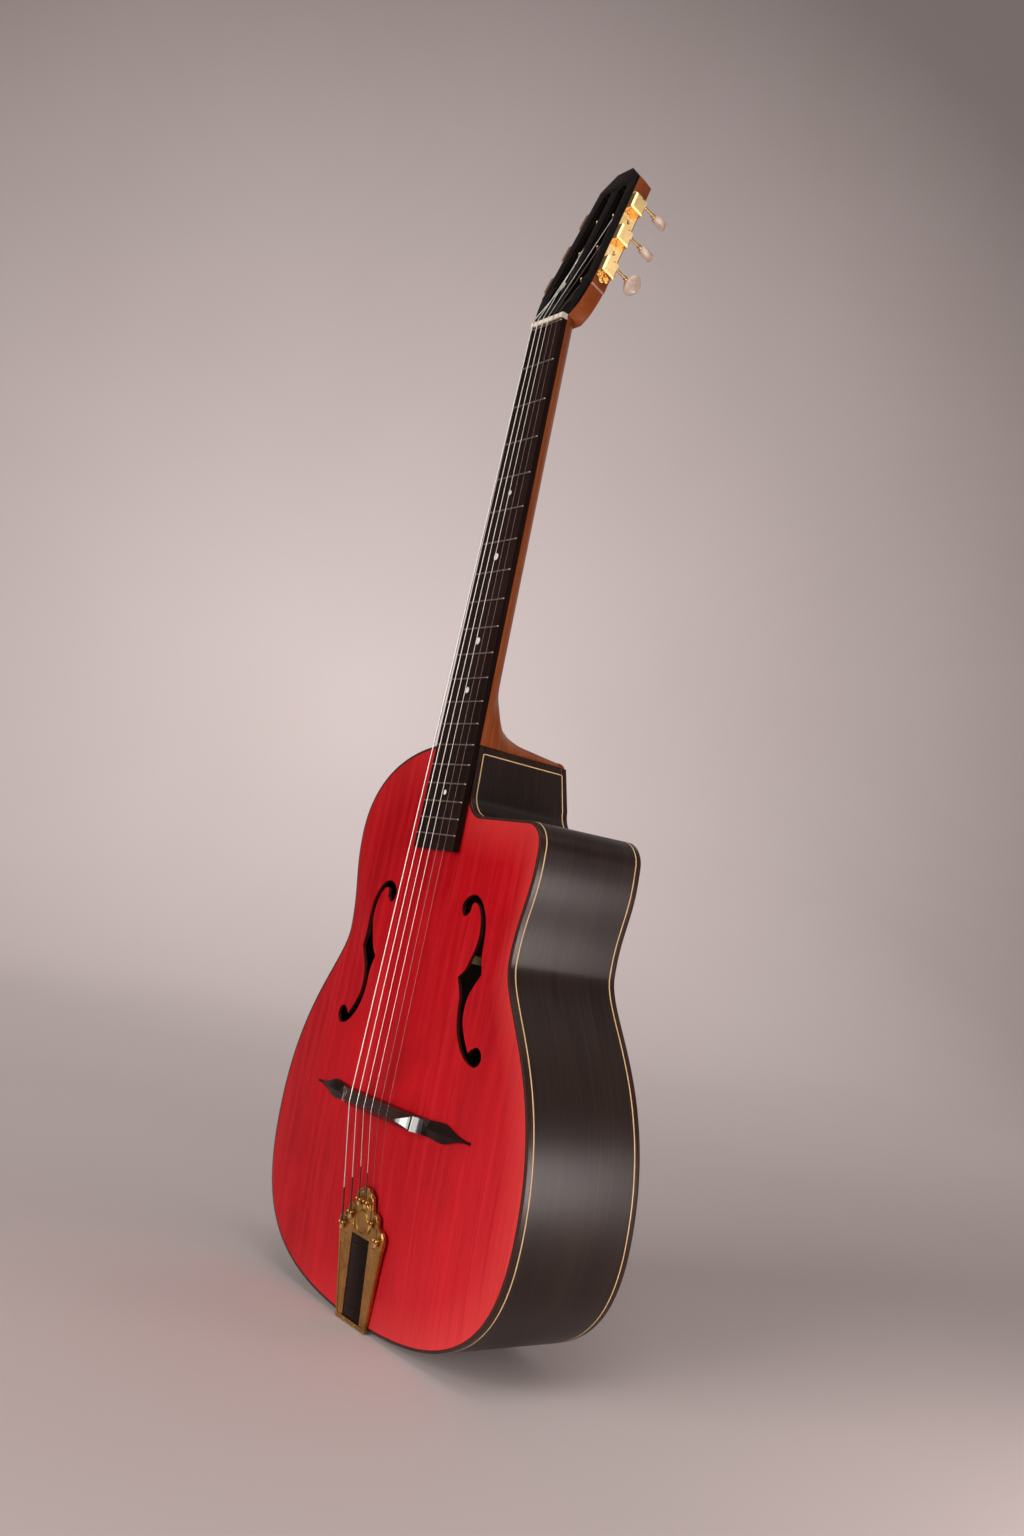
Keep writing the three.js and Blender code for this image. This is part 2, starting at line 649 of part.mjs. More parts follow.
// Screws of the tail bracket, and the clearance holes that they pass through
function screwAt([x, y], clearance) {
  const head = SCREW_HEAD_RADIUS + clearance;
  const shank = SCREW_RADIUS + clearance;
  const face = -SEAT_GAP - BRACKET_THICKNESS;
  const low = clearance ? face - OVERRUN : face;
  const profile = [
    flat(0, low),
    flat(head, low),
    flat(head, face + clearance),
    flat(shank, face + clearance + BRACKET_THICKNESS),
    flat(shank, face + SCREW_LENGTH + clearance),
    flat(0, face + SCREW_LENGTH + clearance),
  ];
  const kept = clearance ? profile : [profile[0], ...profile.slice(2)];
  return new THREE.LatheGeometry(kept, HOLE_SIDES).rotateX(Math.PI / 2).translate(x, y, 0);
}

function makeBody() {
  const bindingGap = BINDING_WIDTH + SEAT_GAP;
  const plateEdge = inset(frontOutline, bindingGap);
  const backEdge = inset(backOutline, bindingGap);
  const screwHoles = SCREW_PLACES.map((spot) => screwAt(spot, SCREW_CLEARANCE));

  const soundboard = archedPlate(plateEdge, topAt, topInsideAt);
  place("soundboard", cut(soundboard, fHole(1), fHole(-1)), [RED, 0.35, 0]);
  place("back_plate", archedPlate(backEdge, backInsideAt, backAt), [DARK_SIDE, 0.4, 0]);

  // A slab that keeps to the body's wall: its loops are the outline at its two faces' depths.
  const wallSlab = (depths, width, faces) => {
    const [front, back] = faces.map((face) => outlineAt(face(0, bodyLength)));
    const holed = width > 0;
    return slab({
      front: inset(front, depths),
      back: inset(back, depths),
      holes: holed ? [reversed(inset(front, depths + width))] : [],
      backHoles: holed ? [reversed(inset(back, depths + width))] : [],
      frontAt: faces[0],
      backAt: faces[1],
    });
  };
  const fromFront = (height) => () => height;
  const fromBack = (height) => (x, z) => depthAt(x, z) - height;
  const purflingTop = BINDING_HEIGHT + SEAT_GAP;
  const purflingEnd = purflingTop + PURFLING_HEIGHT;
  const sideEdge = purflingEnd + SEAT_GAP;
  const bindingFinish = [DARK_BINDING, 0.4, 0];
  const creamFinish = [CREAM, 0.5, 0];
  const edges = [
    ["front_binding", BINDING_WIDTH, [fromFront(0), fromFront(BINDING_HEIGHT)], bindingFinish],
    ["back_binding", BINDING_WIDTH, [fromBack(BINDING_HEIGHT), fromBack(0)], bindingFinish],
    [
      "front_purfling",
      PURFLING_DEPTH,
      [fromFront(purflingTop), fromFront(purflingEnd)],
      creamFinish,
    ],
    [
      "back_purfling",
      PURFLING_DEPTH,
      [fromBack(purflingEnd), fromBack(purflingTop)],
      creamFinish,
    ],
  ];
  for (const [name, width, faces, finish] of edges) {
    place(name, wallSlab(0, width, faces), finish);
  }

  // The sides are one bent wall, parted at the tail, at the horn and under the heel.
  const wallFaces = [fromFront(sideEdge), fromBack(sideEdge)];
  const wall = wallSlab(0, SIDE_THICKNESS, wallFaces);
  const reach = LOWER_BOUT_HALF + OVERRUN;
  const deep = TAIL_DEPTH + OVERRUN;
  const tall = bodyLength + OVERRUN;
  const seam = SEAT_GAP / 2;
  const room = (low, high) =>
    boxBetween(at(low[0], -OVERRUN, low[1]), at(high[0], deep, high[1]));
  const bassWall = common(wall, room([-reach, -OVERRUN], [-seam, tall]));
  const trebleWall = common(wall, room([seam, -OVERRUN], [reach, upperBoutZ - seam]));
  const hornWall = common(wall, room([seam, upperBoutZ + seam], [reach, tall]));
  const wallFinish = [DARK_SIDE, 0.45, 0];
  place("side_bass", cut(bassWall, ...screwHoles), wallFinish);
  place("side_treble", cut(trebleWall, ...screwHoles), wallFinish);

  // A cream strip crosses the top of the cutaway wall, let into its outer face.
  const bandLow = bodyLength - FRAME_BAND_DROP;
  const bandHigh = bandLow + PURFLING_HEIGHT;
  const strip = room([BINDING_WIDTH, bandLow], [reach, bandHigh]);
  const channel = common(
    wallSlab(-OVERRUN, OVERRUN + PURFLING_DEPTH + SEAT_GAP, wallFaces),
    room([0, bandLow - SEAT_GAP], [reach, bandHigh + SEAT_GAP]),
  );
  place("side_cutaway", cut(hornWall, channel), wallFinish);
  place("cutaway_purfling", common(wallSlab(0, PURFLING_DEPTH, wallFaces), strip), creamFinish);

  // Linings, and the two blocks that they stop against
  const blockGap = SIDE_THICKNESS + SEAT_GAP;
  const frontSeat = SOUNDBOARD_THICKNESS + SEAT_GAP;
  const backSeat = BACK_THICKNESS + SEAT_GAP;
  const inner = wallSlab(blockGap, 0, [fromFront(frontSeat), fromBack(backSeat)]);
  const neckRoom = (grow) =>
    room(
      [-NECK_BLOCK_HALF - grow, bodyLength - NECK_BLOCK_HEIGHT - grow],
      [HEEL_FLAT_HALF + grow, tall],
    );
  const tailRoom = (grow) =>
    room(
      [-TAIL_BLOCK_HALF - grow, -OVERRUN],
      [TAIL_BLOCK_HALF + grow, TAIL_BLOCK_HEIGHT + grow],
    );
  place("neck_block", common(inner, neckRoom(0)), [MAHOGANY, 0.7, 0]);
  place("tail_block", cut(common(inner, tailRoom(0)), ...screwHoles), [MAHOGANY, 0.7, 0]);
  const liningFaces = {
    front: [fromFront(frontSeat), fromFront(frontSeat + LINING_HEIGHT)],
    back: [fromBack(backSeat + LINING_HEIGHT), fromBack(backSeat)],
  };
  for (const [plate, faces] of Object.entries(liningFaces)) {
    const strips = wallSlab(blockGap, LINING_WIDTH, faces);
    const stopped = cut(strips, neckRoom(SEAT_GAP), tailRoom(SEAT_GAP));
    const treble = common(stopped, room([0, 0], [reach, tall]));
    const bass = common(stopped, room([-reach, 0], [0, tall]));
    place(`${plate}_lining_treble`, treble, [SPRUCE, 0.8, 0]);
    place(`${plate}_lining_bass`, bass, [SPRUCE, 0.8, 0]);
  }
}

// A brace that lies along a plate between two (x, z) ends, low at its scooped ends.
function brace(from, to, width, height, plateAt, inwards) {
  const run = to.clone().sub(from);
  const across = flat(-run.y, run.x).normalize().multiplyScalar(width / 2);
  const rings = Array.from({ length: BRACE_STATIONS + 1 }, (_, i) => {
    const share = i / BRACE_STATIONS;
    const spot = from.clone().addScaledVector(run, share);
    const [low, high] = [spot.clone().sub(across), spot.clone().add(across)];
    const swell = Math.min(1, BRACE_END_SHARE + Math.sin(Math.PI * share));
    const [seatLow, seatHigh] = [low, high].map(
      (p) => plateAt(p.x, p.y) + inwards * BRACE_SEAT,
    );
    const foot = plateAt(spot.x, spot.y) + inwards * (BRACE_SEAT + height * swell);
    return [
      at(low.x, seatLow, low.y),
      at(high.x, seatHigh, high.y),
      at(high.x, foot, high.y),
      at(low.x, foot, low.y),
    ];
  });
  return loft(rings);
}

// Half of the room across the inside of the body at a height, clear of the linings.
function innerHalfAt(z, loop) {
  const room = inset(loop, SIDE_THICKNESS + SEAT_GAP + LINING_WIDTH + BRACE_WALL_CLEARANCE);
  const bass = [];
  room.forEach((p, i) => {
    const q = room[(i + 1) % room.length];
    if ((p.y - z) * (q.y - z) <= 0 && p.y !== q.y && p.x + q.x < 0) {
      bass.push(mix(p.x, q.x, (z - p.y) / (q.y - p.y)));
    }
  });
  return -Math.max(...bass);
}

function makeBraces() {
  const crossBars = CROSS_BRACE_SHARES.map((share) => {
    const z = share * bodyLength;
    const half = innerHalfAt(z, frontOutline);
    return brace(flat(-half, z), flat(half, z), BRACE_WIDTH, BRACE_HEIGHT, topInsideAt, 1);
  });
  const toneBars = [-1, 1].map((side) => {
    const ends = TONE_BAR_SHARES.map((share) => flat(side * TONE_BAR_SPREAD, share * bodyLength));
    return brace(...ends, BRACE_WIDTH, BRACE_HEIGHT, topInsideAt, 1);
  });
  place("top_bracing", join(...crossBars, ...toneBars), [SPRUCE, 0.8, 0]);
  const backBars = BACK_BRACE_SHARES.map((share) => {
    const z = share * bodyLength;
    const half = innerHalfAt(z, backOutline);
    return brace(flat(-half, z), flat(half, z), BRACE_WIDTH, BRACE_HEIGHT, backInsideAt, -1);
  });
  const stripEnds = BACK_STRIP_SHARES.map((share) => flat(0, share * bodyLength));
  const strip = brace(...stripEnds, BACK_STRIP_WIDTH, BACK_STRIP_HEIGHT, backInsideAt, -1);
  place("back_bracing", join(...backBars, strip), [SPRUCE, 0.8, 0]);
}

// Neck frame: its origin is on the fretboard's surface at the body's fret, +Z up the neck.
const neckFrame = new THREE.Group();
neckFrame.position.set(0, -BOARD_RISE, bodyFretZ);
neckFrame.rotation.x = -NECK_TILT;
guitar.add(neckFrame);

const boardEndZ = nutZ - fretFromNut(FRETS + 1);
const boardHalfAt = (z) => mix(BODY_FRET_HALF, NUT_HALF, z / nutZ);

// Headstock frame: origin on the veneer's face above the nut, +Z up the headstock.
const headFrame = new THREE.Group();
headFrame.position.set(0, HEAD_STEP, nutZ + NUT_THICKNESS + SEAT_GAP);
headFrame.rotation.x = -HEAD_TILT;
neckFrame.add(headFrame);

function headShape() {
  const shape = new THREE.Shape();
  shape.moveTo(-NUT_HALF, 0);
  shape.lineTo(NUT_HALF, 0);
  shape.quadraticCurveTo(HEAD_FLARE_HALF, HEAD_FLARE_HEIGHT, HEAD_WIDE_HALF, HEAD_WIDE_HEIGHT);
  shape.lineTo(HEAD_TOP_HALF, HEAD_TOP_HEIGHT);
  shape.lineTo(HEAD_PEAK_HALF, HEAD_LENGTH);
  shape.lineTo(-HEAD_PEAK_HALF, HEAD_LENGTH);
  shape.lineTo(-HEAD_TOP_HALF, HEAD_TOP_HEIGHT);
  shape.lineTo(-HEAD_WIDE_HALF, HEAD_WIDE_HEIGHT);
  shape.quadraticCurveTo(-HEAD_FLARE_HALF, HEAD_FLARE_HEIGHT, -NUT_HALF, 0);
  return shape;
}

const headTaper = (HEAD_WIDE_HALF - HEAD_TOP_HALF) / (HEAD_TOP_HEIGHT - HEAD_WIDE_HEIGHT);
const headHalfAt = (s) => HEAD_WIDE_HALF - (s - HEAD_WIDE_HEIGHT) * headTaper;
const slotOuterAt = (s) => headHalfAt(s) - SLOT_OUTER_WALL;

// A string slot with cut corners, and the ramp that leads the strings down into it.
function slotTools(side) {
  const corner = SLOT_CORNER;
  const points = [
    [SLOT_RIB_HALF + corner, SLOT_LOW_HEIGHT],
    [slotOuterAt(SLOT_LOW_HEIGHT) - corner, SLOT_LOW_HEIGHT],
    [slotOuterAt(SLOT_LOW_HEIGHT + corner), SLOT_LOW_HEIGHT + corner],
    [slotOuterAt(SLOT_HIGH_HEIGHT - corner), SLOT_HIGH_HEIGHT - corner],
    [slotOuterAt(SLOT_HIGH_HEIGHT) - corner, SLOT_HIGH_HEIGHT],
    [SLOT_RIB_HALF + corner, SLOT_HIGH_HEIGHT],
    [SLOT_RIB_HALF, SLOT_HIGH_HEIGHT - corner],
    [SLOT_RIB_HALF, SLOT_LOW_HEIGHT + corner],
  ].map(([x, s]) => flat(side * x, s));
  const slot = slab({
    front: side > 0 ? points : reversed(points),
    frontAt: () => -OVERRUN,
    backAt: () => VENEER_THICKNESS + HEAD_THICKNESS + 2 * OVERRUN,
  });
  const sillHalf = slotOuterAt(RAMP_HIGH_HEIGHT) - corner;
  const ramp = [
    [SLOT_RIB_HALF, RAMP_LOW_HEIGHT, 0],
    [NUT_HALF - SEAT_GAP, RAMP_LOW_HEIGHT, 0],
    [sillHalf, RAMP_HIGH_HEIGHT, RAMP_DEPTH],
    [SLOT_RIB_HALF, RAMP_HIGH_HEIGHT, RAMP_DEPTH],
  ];
  const wedge = loft([
    ramp.map(([x, s]) => at(side * x, -OVERRUN, s)),
    ramp.map(([x, s, depth]) => at(side * x, depth, s)),
  ]);
  return [slot, wedge];
}

// Frame of one side face of the headstock: +X outwards, +Y backwards, +Z up the face.
function sideFrame(side) {
  const mirror = new THREE.Group();
  mirror.scale.x = side;
  headFrame.add(mirror);
  const frame = new THREE.Group();
  frame.position.set(HEAD_WIDE_HALF, 0, HEAD_WIDE_HEIGHT);
  frame.rotation.y = -Math.atan(headTaper);
  mirror.add(frame);
  return frame;
}
const trebleSide = sideFrame(1);
const bassSide = sideFrame(-1);
root.updateMatrixWorld(true);

const sideSlope = Math.atan(headTaper);
const postZ = (k) => (TUNER_FIRST_HEIGHT + k * TUNER_PITCH - HEAD_WIDE_HEIGHT) / Math.cos(sideSlope);
const gearPitchRadius = (GEAR_TEETH * GEAR_PITCH_ARC) / FULL_TURN;
const centreDistance = gearPitchRadius + WORM_PITCH_RADIUS;
const gearTip = gearPitchRadius + GEAR_ADDENDUM;
const plateOuter = SEAT_GAP + PLATE_THICKNESS;
const wormRoom = WORM_CREST_RADIUS + SEAT_GAP;
const gearMiddle = plateOuter + GEAR_STAND + wormRoom;
const gearLow = gearMiddle - GEAR_WIDTH / 2;
const postY = PLATE_CENTRE_Y - POST_SETBACK;

// Distance from the side face to the rib, square to the face, at a tuner's post
function postReach(k) {
  const s = TUNER_FIRST_HEIGHT + k * TUNER_PITCH;
  return (headHalfAt(s) - SLOT_RIB_HALF) / Math.cos(sideSlope);
}

function postHoles(side) {
  const frame = side > 0 ? trebleSide : bassSide;
  const toHead = headFrame.matrixWorld.clone().invert().multiply(frame.matrixWorld);
  return Array.from({ length: TUNERS_PER_SIDE }, (_, k) => {
    const hole = barAlong(
      "x",
      POST_RADIUS + POST_RUNNING,
      -postReach(k) - POST_TIP - SEAT_GAP,
      OVERRUN,
      HOLE_SIDES,
    ).translate(0, postY, postZ(k));
    return carried(hole, toHead);
  });
}

function makeNeck() {
  // Shaft behind the fretboard, from the body to the headstock
  const boardBack = BOARD_THICKNESS + SEAT_GAP;
  const shaftRing = (z) => {
    const share = THREE.MathUtils.clamp(z / nutZ, 0, 1);
    const half = boardHalfAt(Math.min(z, nutZ));
    const depth = mix(NECK_DEPTH_AT_HEEL, NECK_DEPTH_AT_NUT, share);
    return Array.from({ length: NECK_SIDES + 1 }, (_, i) => {
      const angle = (i / NECK_SIDES) * Math.PI;
      const cosine = Math.cos(angle);
      const x = half * Math.sign(cosine) * Math.abs(cosine) ** NECK_FLANK_SHARE;
      return at(x, boardBack + depth * Math.sin(angle), z);
    });
  };
  const shaftTop = nutZ + NUT_THICKNESS + SEAT_GAP + HEAD_FLARE_HEIGHT;
  const stations = Array.from({ length: NECK_STATIONS + 1 }, (_, i) =>
    mix(-OVERRUN * 2, shaftTop, i / NECK_STATIONS),
  );
  const shaft = loft(stations.map(shaftRing)).applyMatrix4(neckFrame.matrix);

  // Heel: half-round sections that shrink from the fretboard side to the back
  const heelEnd = NECK_DEPTH - HEEL_CAP_THICKNESS - SEAT_GAP;
  const heelRing = (i) => {
    const y = mix(HEEL_TOP_Y, heelEnd, HEEL_DEPTH_SHARES[i]);
    const half = HEEL_HALF * HEEL_HALF_SHARES[i];
    const rise = HEEL_RISE * HEEL_RISE_SHARES[i];
    return Array.from({ length: NECK_SIDES + 1 }, (_, k) => {
      const angle = (k / NECK_SIDES) * Math.PI;
      return at(half * Math.cos(angle), y, bodyLength + SEAT_GAP + rise * Math.sin(angle));
    });
  };
  const heel = loft(HEEL_DEPTH_SHARES.map((_, i) => heelRing(i)));
  const lastRing = heelRing(HEEL_DEPTH_SHARES.length - 1);
  const capRing = (y) => lastRing.map((p) => at(p.x, y, p.z));
  place("heel_cap", loft([capRing(heelEnd + SEAT_GAP), capRing(NECK_DEPTH)]), [EBONY, 0.4, 0]);

  // Headstock core, slotted and bored for the posts
  const headMatrix = neckFrame.matrix.clone().multiply(headFrame.matrix);
  const coreFront = VENEER_THICKNESS + SEAT_GAP;
  const core = plateOf(headShape(), coreFront, HEAD_THICKNESS, HEAD_FLARE_STEPS);
  const openings = [...slotTools(1), ...slotTools(-1), ...postHoles(1), ...postHoles(-1)];
  const openHead = cut(core, ...openings).applyMatrix4(headMatrix);
  const wide = HEEL_HALF + OVERRUN;
  const joined = join(shaft, heel, openHead);
  const bodyTool = boxBetween(
    at(-wide, -wide, bodyLength - wide),
    at(wide, TAIL_DEPTH, bodyLength + SEAT_GAP),
  );
  const boardTool = () =>
    boxBetween(
      at(-wide, -wide, -wide),
      at(wide, boardBack, nutZ + NUT_THICKNESS + SEAT_GAP),
    );
  // Above the nut the shaft is planed down to the veneer's seat.
  const faceTool = boxBetween(
    at(-HEAD_WIDE_HALF, -wide, -OVERRUN * 2),
    at(HEAD_WIDE_HALF, coreFront, HEAD_LENGTH + OVERRUN),
  );
  const rodHigh = ROD_BODY_END + ROD_LENGTH;
  const rodBox = (grow) =>
    boxBetween(
      at(-ROD_WIDTH / 2 - grow, boardBack - (grow ? OVERRUN : 0), ROD_BODY_END - grow),
      at(ROD_WIDTH / 2 + grow, boardBack + ROD_DEPTH + grow, rodHigh + grow),
    );
  const neck = cut(
    joined,
    bodyTool,
    boardTool().applyMatrix4(neckFrame.matrix),
    faceTool.applyMatrix4(headMatrix),
    rodBox(SEAT_GAP).applyMatrix4(neckFrame.matrix),
  );
  place("neck", neck, [MAHOGANY, 0.4, 0]);
  place("reinforcing_rod", rodBox(0), [STEEL, 0.4, 0.9], neckFrame);

  const veneer = plateOf(headShape(), 0, VENEER_THICKNESS, HEAD_FLARE_STEPS);
  const nutTool = boardTool().applyMatrix4(headFrame.matrix.clone().invert());
  const openVeneer = cut(veneer, nutTool, ...slotTools(1), ...slotTools(-1));
  place("headstock_veneer", openVeneer, [EBONY, 0.2, 0], headFrame);
}

// A fret: a five-sided crown across the board.
function fret(z) {
  const half = boardHalfAt(z) - FRET_INSET;
  const crown = [
    [-FRET_WIDTH / 2, FRET_SINK],
    [-FRET_WIDTH / 2, -FRET_HEIGHT / 2],
    [0, -FRET_HEIGHT],
    [FRET_WIDTH / 2, -FRET_HEIGHT / 2],
    [FRET_WIDTH / 2, FRET_SINK],
  ];
  return loft([-half, half].map((x) => crown.map(([run, y]) => at(x, y, z + run))));
}

function makeFretboard() {
  const ends = [boardEndZ, nutZ - SEAT_GAP];
  const board = loft(
    ends.map((z) => {
      const half = boardHalfAt(z);
      return [
        at(-half, 0, z),
        at(half, 0, z),
        at(half, BOARD_THICKNESS, z),
        at(-half, BOARD_THICKNESS, z),
      ];
    }),
  );
  const frets = Array.from({ length: FRETS }, (_, i) => fret(nutZ - fretFromNut(i + 1)));
  const zeroFret = fret(nutZ - FRET_WIDTH);
  place("fretboard", join(board, ...frets, zeroFret), [EBONY, 0.4, 0], neckFrame);

  const blank = boxBetween(
    at(-NUT_HALF, -NUT_RISE, nutZ),
    at(NUT_HALF, BOARD_THICKNESS, nutZ + NUT_THICKNESS),
  );
  const notches = Array.from({ length: STRINGS }, (_, i) => {
    const x = nutStringX(i);
    const half = NUT_SLOT_WIDTH / 2;
    return boxBetween(
      at(x - half, -NUT_RISE - OVERRUN, nutZ - OVERRUN),
      at(x + half, -NUT_RISE + NUT_SLOT_DEPTH, nutZ + NUT_THICKNESS + OVERRUN),
    );
  });
  place("nut", cut(blank, ...notches), [BONE, 0.35, 0], neckFrame);
}

// A place across the strings, from the treble string at +1 to the bass string at -1
const stringShare = (i) => 1 - (2 * i) / (STRINGS - 1);
const nutStringX = (i) => stringShare(i) * NUT_SPREAD;

// Tuning machines. The worm's axis runs along +Y and the post's axis along +X.
function gearRing(x) {
  const twist = (x - gearMiddle) / (GEAR_TEETH * WORM_PITCH_RADIUS);
  const step = FULL_TURN / GEAR_TEETH;
  const root = gearPitchRadius - GEAR_DEDENDUM;
  return Array.from({ length: GEAR_TEETH }, (_, i) => {
    const middle = (i + 0.5) * step + twist;
    const corners = [
      [-GEAR_ROOT_SHARE / 2, root],
      [-GEAR_TIP_SHARE / 2, gearTip],
      [GEAR_TIP_SHARE / 2, gearTip],
      [GEAR_ROOT_SHARE / 2, root],
    ];
    return corners.map(([share, radius]) => {
      const angle = middle + share * step;
      return at(x, -radius * Math.sin(angle), radius * Math.cos(angle));
    });
  }).flat();
}

function postProfile(k) {
  const reach = postReach(k);
  const wallInner = -SLOT_OUTER_WALL;
  const barrelLow = -reach + SEAT_GAP * 2;
  const barrelHigh = wallInner - SEAT_GAP * 2;
  return [
    flat(0, -reach - POST_TIP),
    flat(POST_RADIUS, -reach - POST_TIP),
    flat(POST_RADIUS, barrelLow),
    flat(BARREL_RADIUS, barrelLow + POST_RADIUS - BARREL_RADIUS),
    flat(BARREL_RADIUS, barrelHigh - POST_RADIUS + BARREL_RADIUS),
    flat(POST_RADIUS, barrelHigh),
    flat(POST_RADIUS, gearMiddle),
    flat(0, gearMiddle),
  ];
}

function roller(k) {
  const gear = loft([gearRing(gearLow), gearRing(gearLow + GEAR_WIDTH)]);
  const post = new THREE.LatheGeometry(postProfile(k), HOLE_SIDES).rotateZ(-Math.PI / 2);
  return join(gear, post).translate(0, postY, postZ(k));
}

const wormHalf = (WORM_TURNS / 2) * GEAR_PITCH_ARC;
const coverInner = gearTip + COVER_RUNNING;
const coverTop = centreDistance + WORM_CREST_RADIUS + COVER_RUNNING;
const coverHalfY = PLATE_WIDTH / 2;
const coverFront = PLATE_CENTRE_Y - coverHalfY;
const coverBack = PLATE_CENTRE_Y + coverHalfY;

function worm(k) {
  const axisZ = postZ(k) + centreDistance;
  const steps = WORM_TURNS * WORM_STEPS;
  const rings = Array.from({ length: steps + 1 }, (_, i) => {
    const turn = i / WORM_STEPS - WORM_TURNS / 2;
    const angle = Math.PI + turn * FULL_TURN;
    const along = turn * GEAR_PITCH_ARC;
    const corners = [
      [WORM_CORE_RADIUS * 0.9, -WORM_ROOT_SHARE / 2],
      [WORM_CREST_RADIUS, -WORM_CREST_SHARE / 2],
      [WORM_CREST_RADIUS, WORM_CREST_SHARE / 2],
      [WORM_CORE_RADIUS * 0.9, WORM_ROOT_SHARE / 2],
    ];
    return corners.map(([radius, share]) =>
      at(radius * Math.sin(angle), along + share * GEAR_PITCH_ARC, radius * Math.cos(angle)),
    );
  });
  const thread = loft(rings);
  const shaftStart = coverFront + SEAT_GAP - postY;
  const collarY = coverBack + SHAFT_REACH - postY;
  const profile = [
    flat(0, shaftStart),
    flat(WORM_CORE_RADIUS, shaftStart),
    flat(WORM_CORE_RADIUS, wormHalf + GEAR_PITCH_ARC),
    flat(WORM_SHAFT_RADIUS, wormHalf + GEAR_PITCH_ARC),
    flat(WORM_SHAFT_RADIUS, collarY - COLLAR_LENGTH),
    flat(COLLAR_RADIUS, collarY - COLLAR_LENGTH),
    flat(COLLAR_RADIUS, collarY),
    flat(WORM_SHAFT_RADIUS, collarY),
    flat(WORM_SHAFT_RADIUS, collarY + SHAFT_TANG),
    flat(0, collarY + SHAFT_TANG),
  ];
  const shaft = new THREE.LatheGeometry(profile, WORM_STEPS);
  return join(shaft, thread).translate(gearMiddle, postY, axisZ);
}

function button(k, degrees) {
  const start = coverBack + SHAFT_REACH + SEAT_GAP;
  const rings = BUTTON_SHARES.map(([along, wide, deep]) =>
    Array.from({ length: BUTTON_SIDES }, (_, n) => {
      const angle = (n / BUTTON_SIDES) * FULL_TURN;
      const x = (BUTTON_WIDTH / 2) * wide * Math.cos(angle);
      const z = (BUTTON_THICKNESS / 2) * deep * Math.sin(angle);
      return at(x, along * BUTTON_LENGTH, z);
    }),
  );
  const tang = barAlong(
    "y",
    WORM_SHAFT_RADIUS + SEAT_GAP,
    -OVERRUN,
    SHAFT_TANG,
    WORM_STEPS,
  );
  const body = cut(loft(rings), tang);
  body.rotateY(THREE.MathUtils.degToRad(degrees));
  return body.translate(gearMiddle, start, postZ(k) + centreDistance);
}

function tunerPlate() {
  const low = postZ(0) - PLATE_LOW_LENGTH;
  const high = postZ(TUNERS_PER_SIDE - 1) + PLATE_HIGH_LENGTH;
  const half = PLATE_WIDTH / 2;
  const shape = new THREE.Shape();
  shape.moveTo(PLATE_CENTRE_Y - half, low + PLATE_LOBE_RADIUS * 2);
  shape.absarc(PLATE_CENTRE_Y, low + PLATE_LOBE_RADIUS, PLATE_LOBE_RADIUS, Math.PI, FULL_TURN);
  shape.lineTo(PLATE_CENTRE_Y + half, low + PLATE_LOBE_RADIUS * 2);
  shape.lineTo(PLATE_CENTRE_Y + half, high);
  shape.lineTo(PLATE_CENTRE_Y - half, high);
  const plate = new THREE.ExtrudeGeometry(shape, {
    depth: PLATE_THICKNESS,
    bevelEnabled: false,
    curveSegments: 6,
  });
  plate.applyMatrix4(new THREE.Matrix4().makeBasis(at(0, 1, 0), at(0, 0, 1), at(1, 0, 0)));
  plate.translate(SEAT_GAP, 0, 0);
  const parts = [plate];
  const tools = [];
  for (let k = 0; k < TUNERS_PER_SIDE; k++) {
    const z = postZ(k);
    const room = [
      at(plateOuter, coverFront + COVER_WALL, z - coverInner),
      at(gearMiddle + wormRoom, coverBack - COVER_WALL, z + coverTop),
    ];
    const wall = at(COVER_WALL, COVER_WALL, COVER_WALL);
    const shell = [
      room[0].clone().sub(at(SEAT_GAP, COVER_WALL, COVER_WALL)),
      room[1].clone().add(wall),
    ];
    parts.push(boxBetween(...shell));
    tools.push(boxBetween(...room));
    const through = POST_RADIUS + POST_RUNNING;
    const bore = barAlong("x", through, 0, plateOuter + SEAT_GAP, HOLE_SIDES);
    tools.push(bore.translate(0, postY, z));
    const shaftHole = barAlong(
      "y",
      WORM_SHAFT_RADIUS + SHAFT_RUNNING,
      coverFront - OVERRUN,
      coverBack + OVERRUN,
      WORM_STEPS,
    );
    tools.push(shaftHole.translate(gearMiddle, 0, z + centreDistance));
  }
  return cut(join(...parts), ...tools);
}

const SIDES = [
  { label: "treble", frame: trebleSide, turns: TREBLE_BUTTON_TURNS, string: (k) => k },
  { label: "bass", frame: bassSide, turns: BASS_BUTTON_TURNS, string: (k) => STRINGS - 1 - k },
];

function makeTuners() {
  for (const { label, frame, turns, string } of SIDES) {
    place(`tuner_plate_${label}`, tunerPlate(), [GOLD, 0.25, 1], frame);
    for (let k = 0; k < TUNERS_PER_SIDE; k++) {
      const number = string(k) + 1;
      place(`tuner_roller_${number}`, roller(k), [BRASS, 0.3, 1], frame);
      place(`tuner_worm_${number}`, worm(k), [STEEL, 0.25, 1], frame);
      place(`tuner_button_${number}`, button(k, turns[k]), [IVORY, 0.3, 0], frame);
    }
  }
}

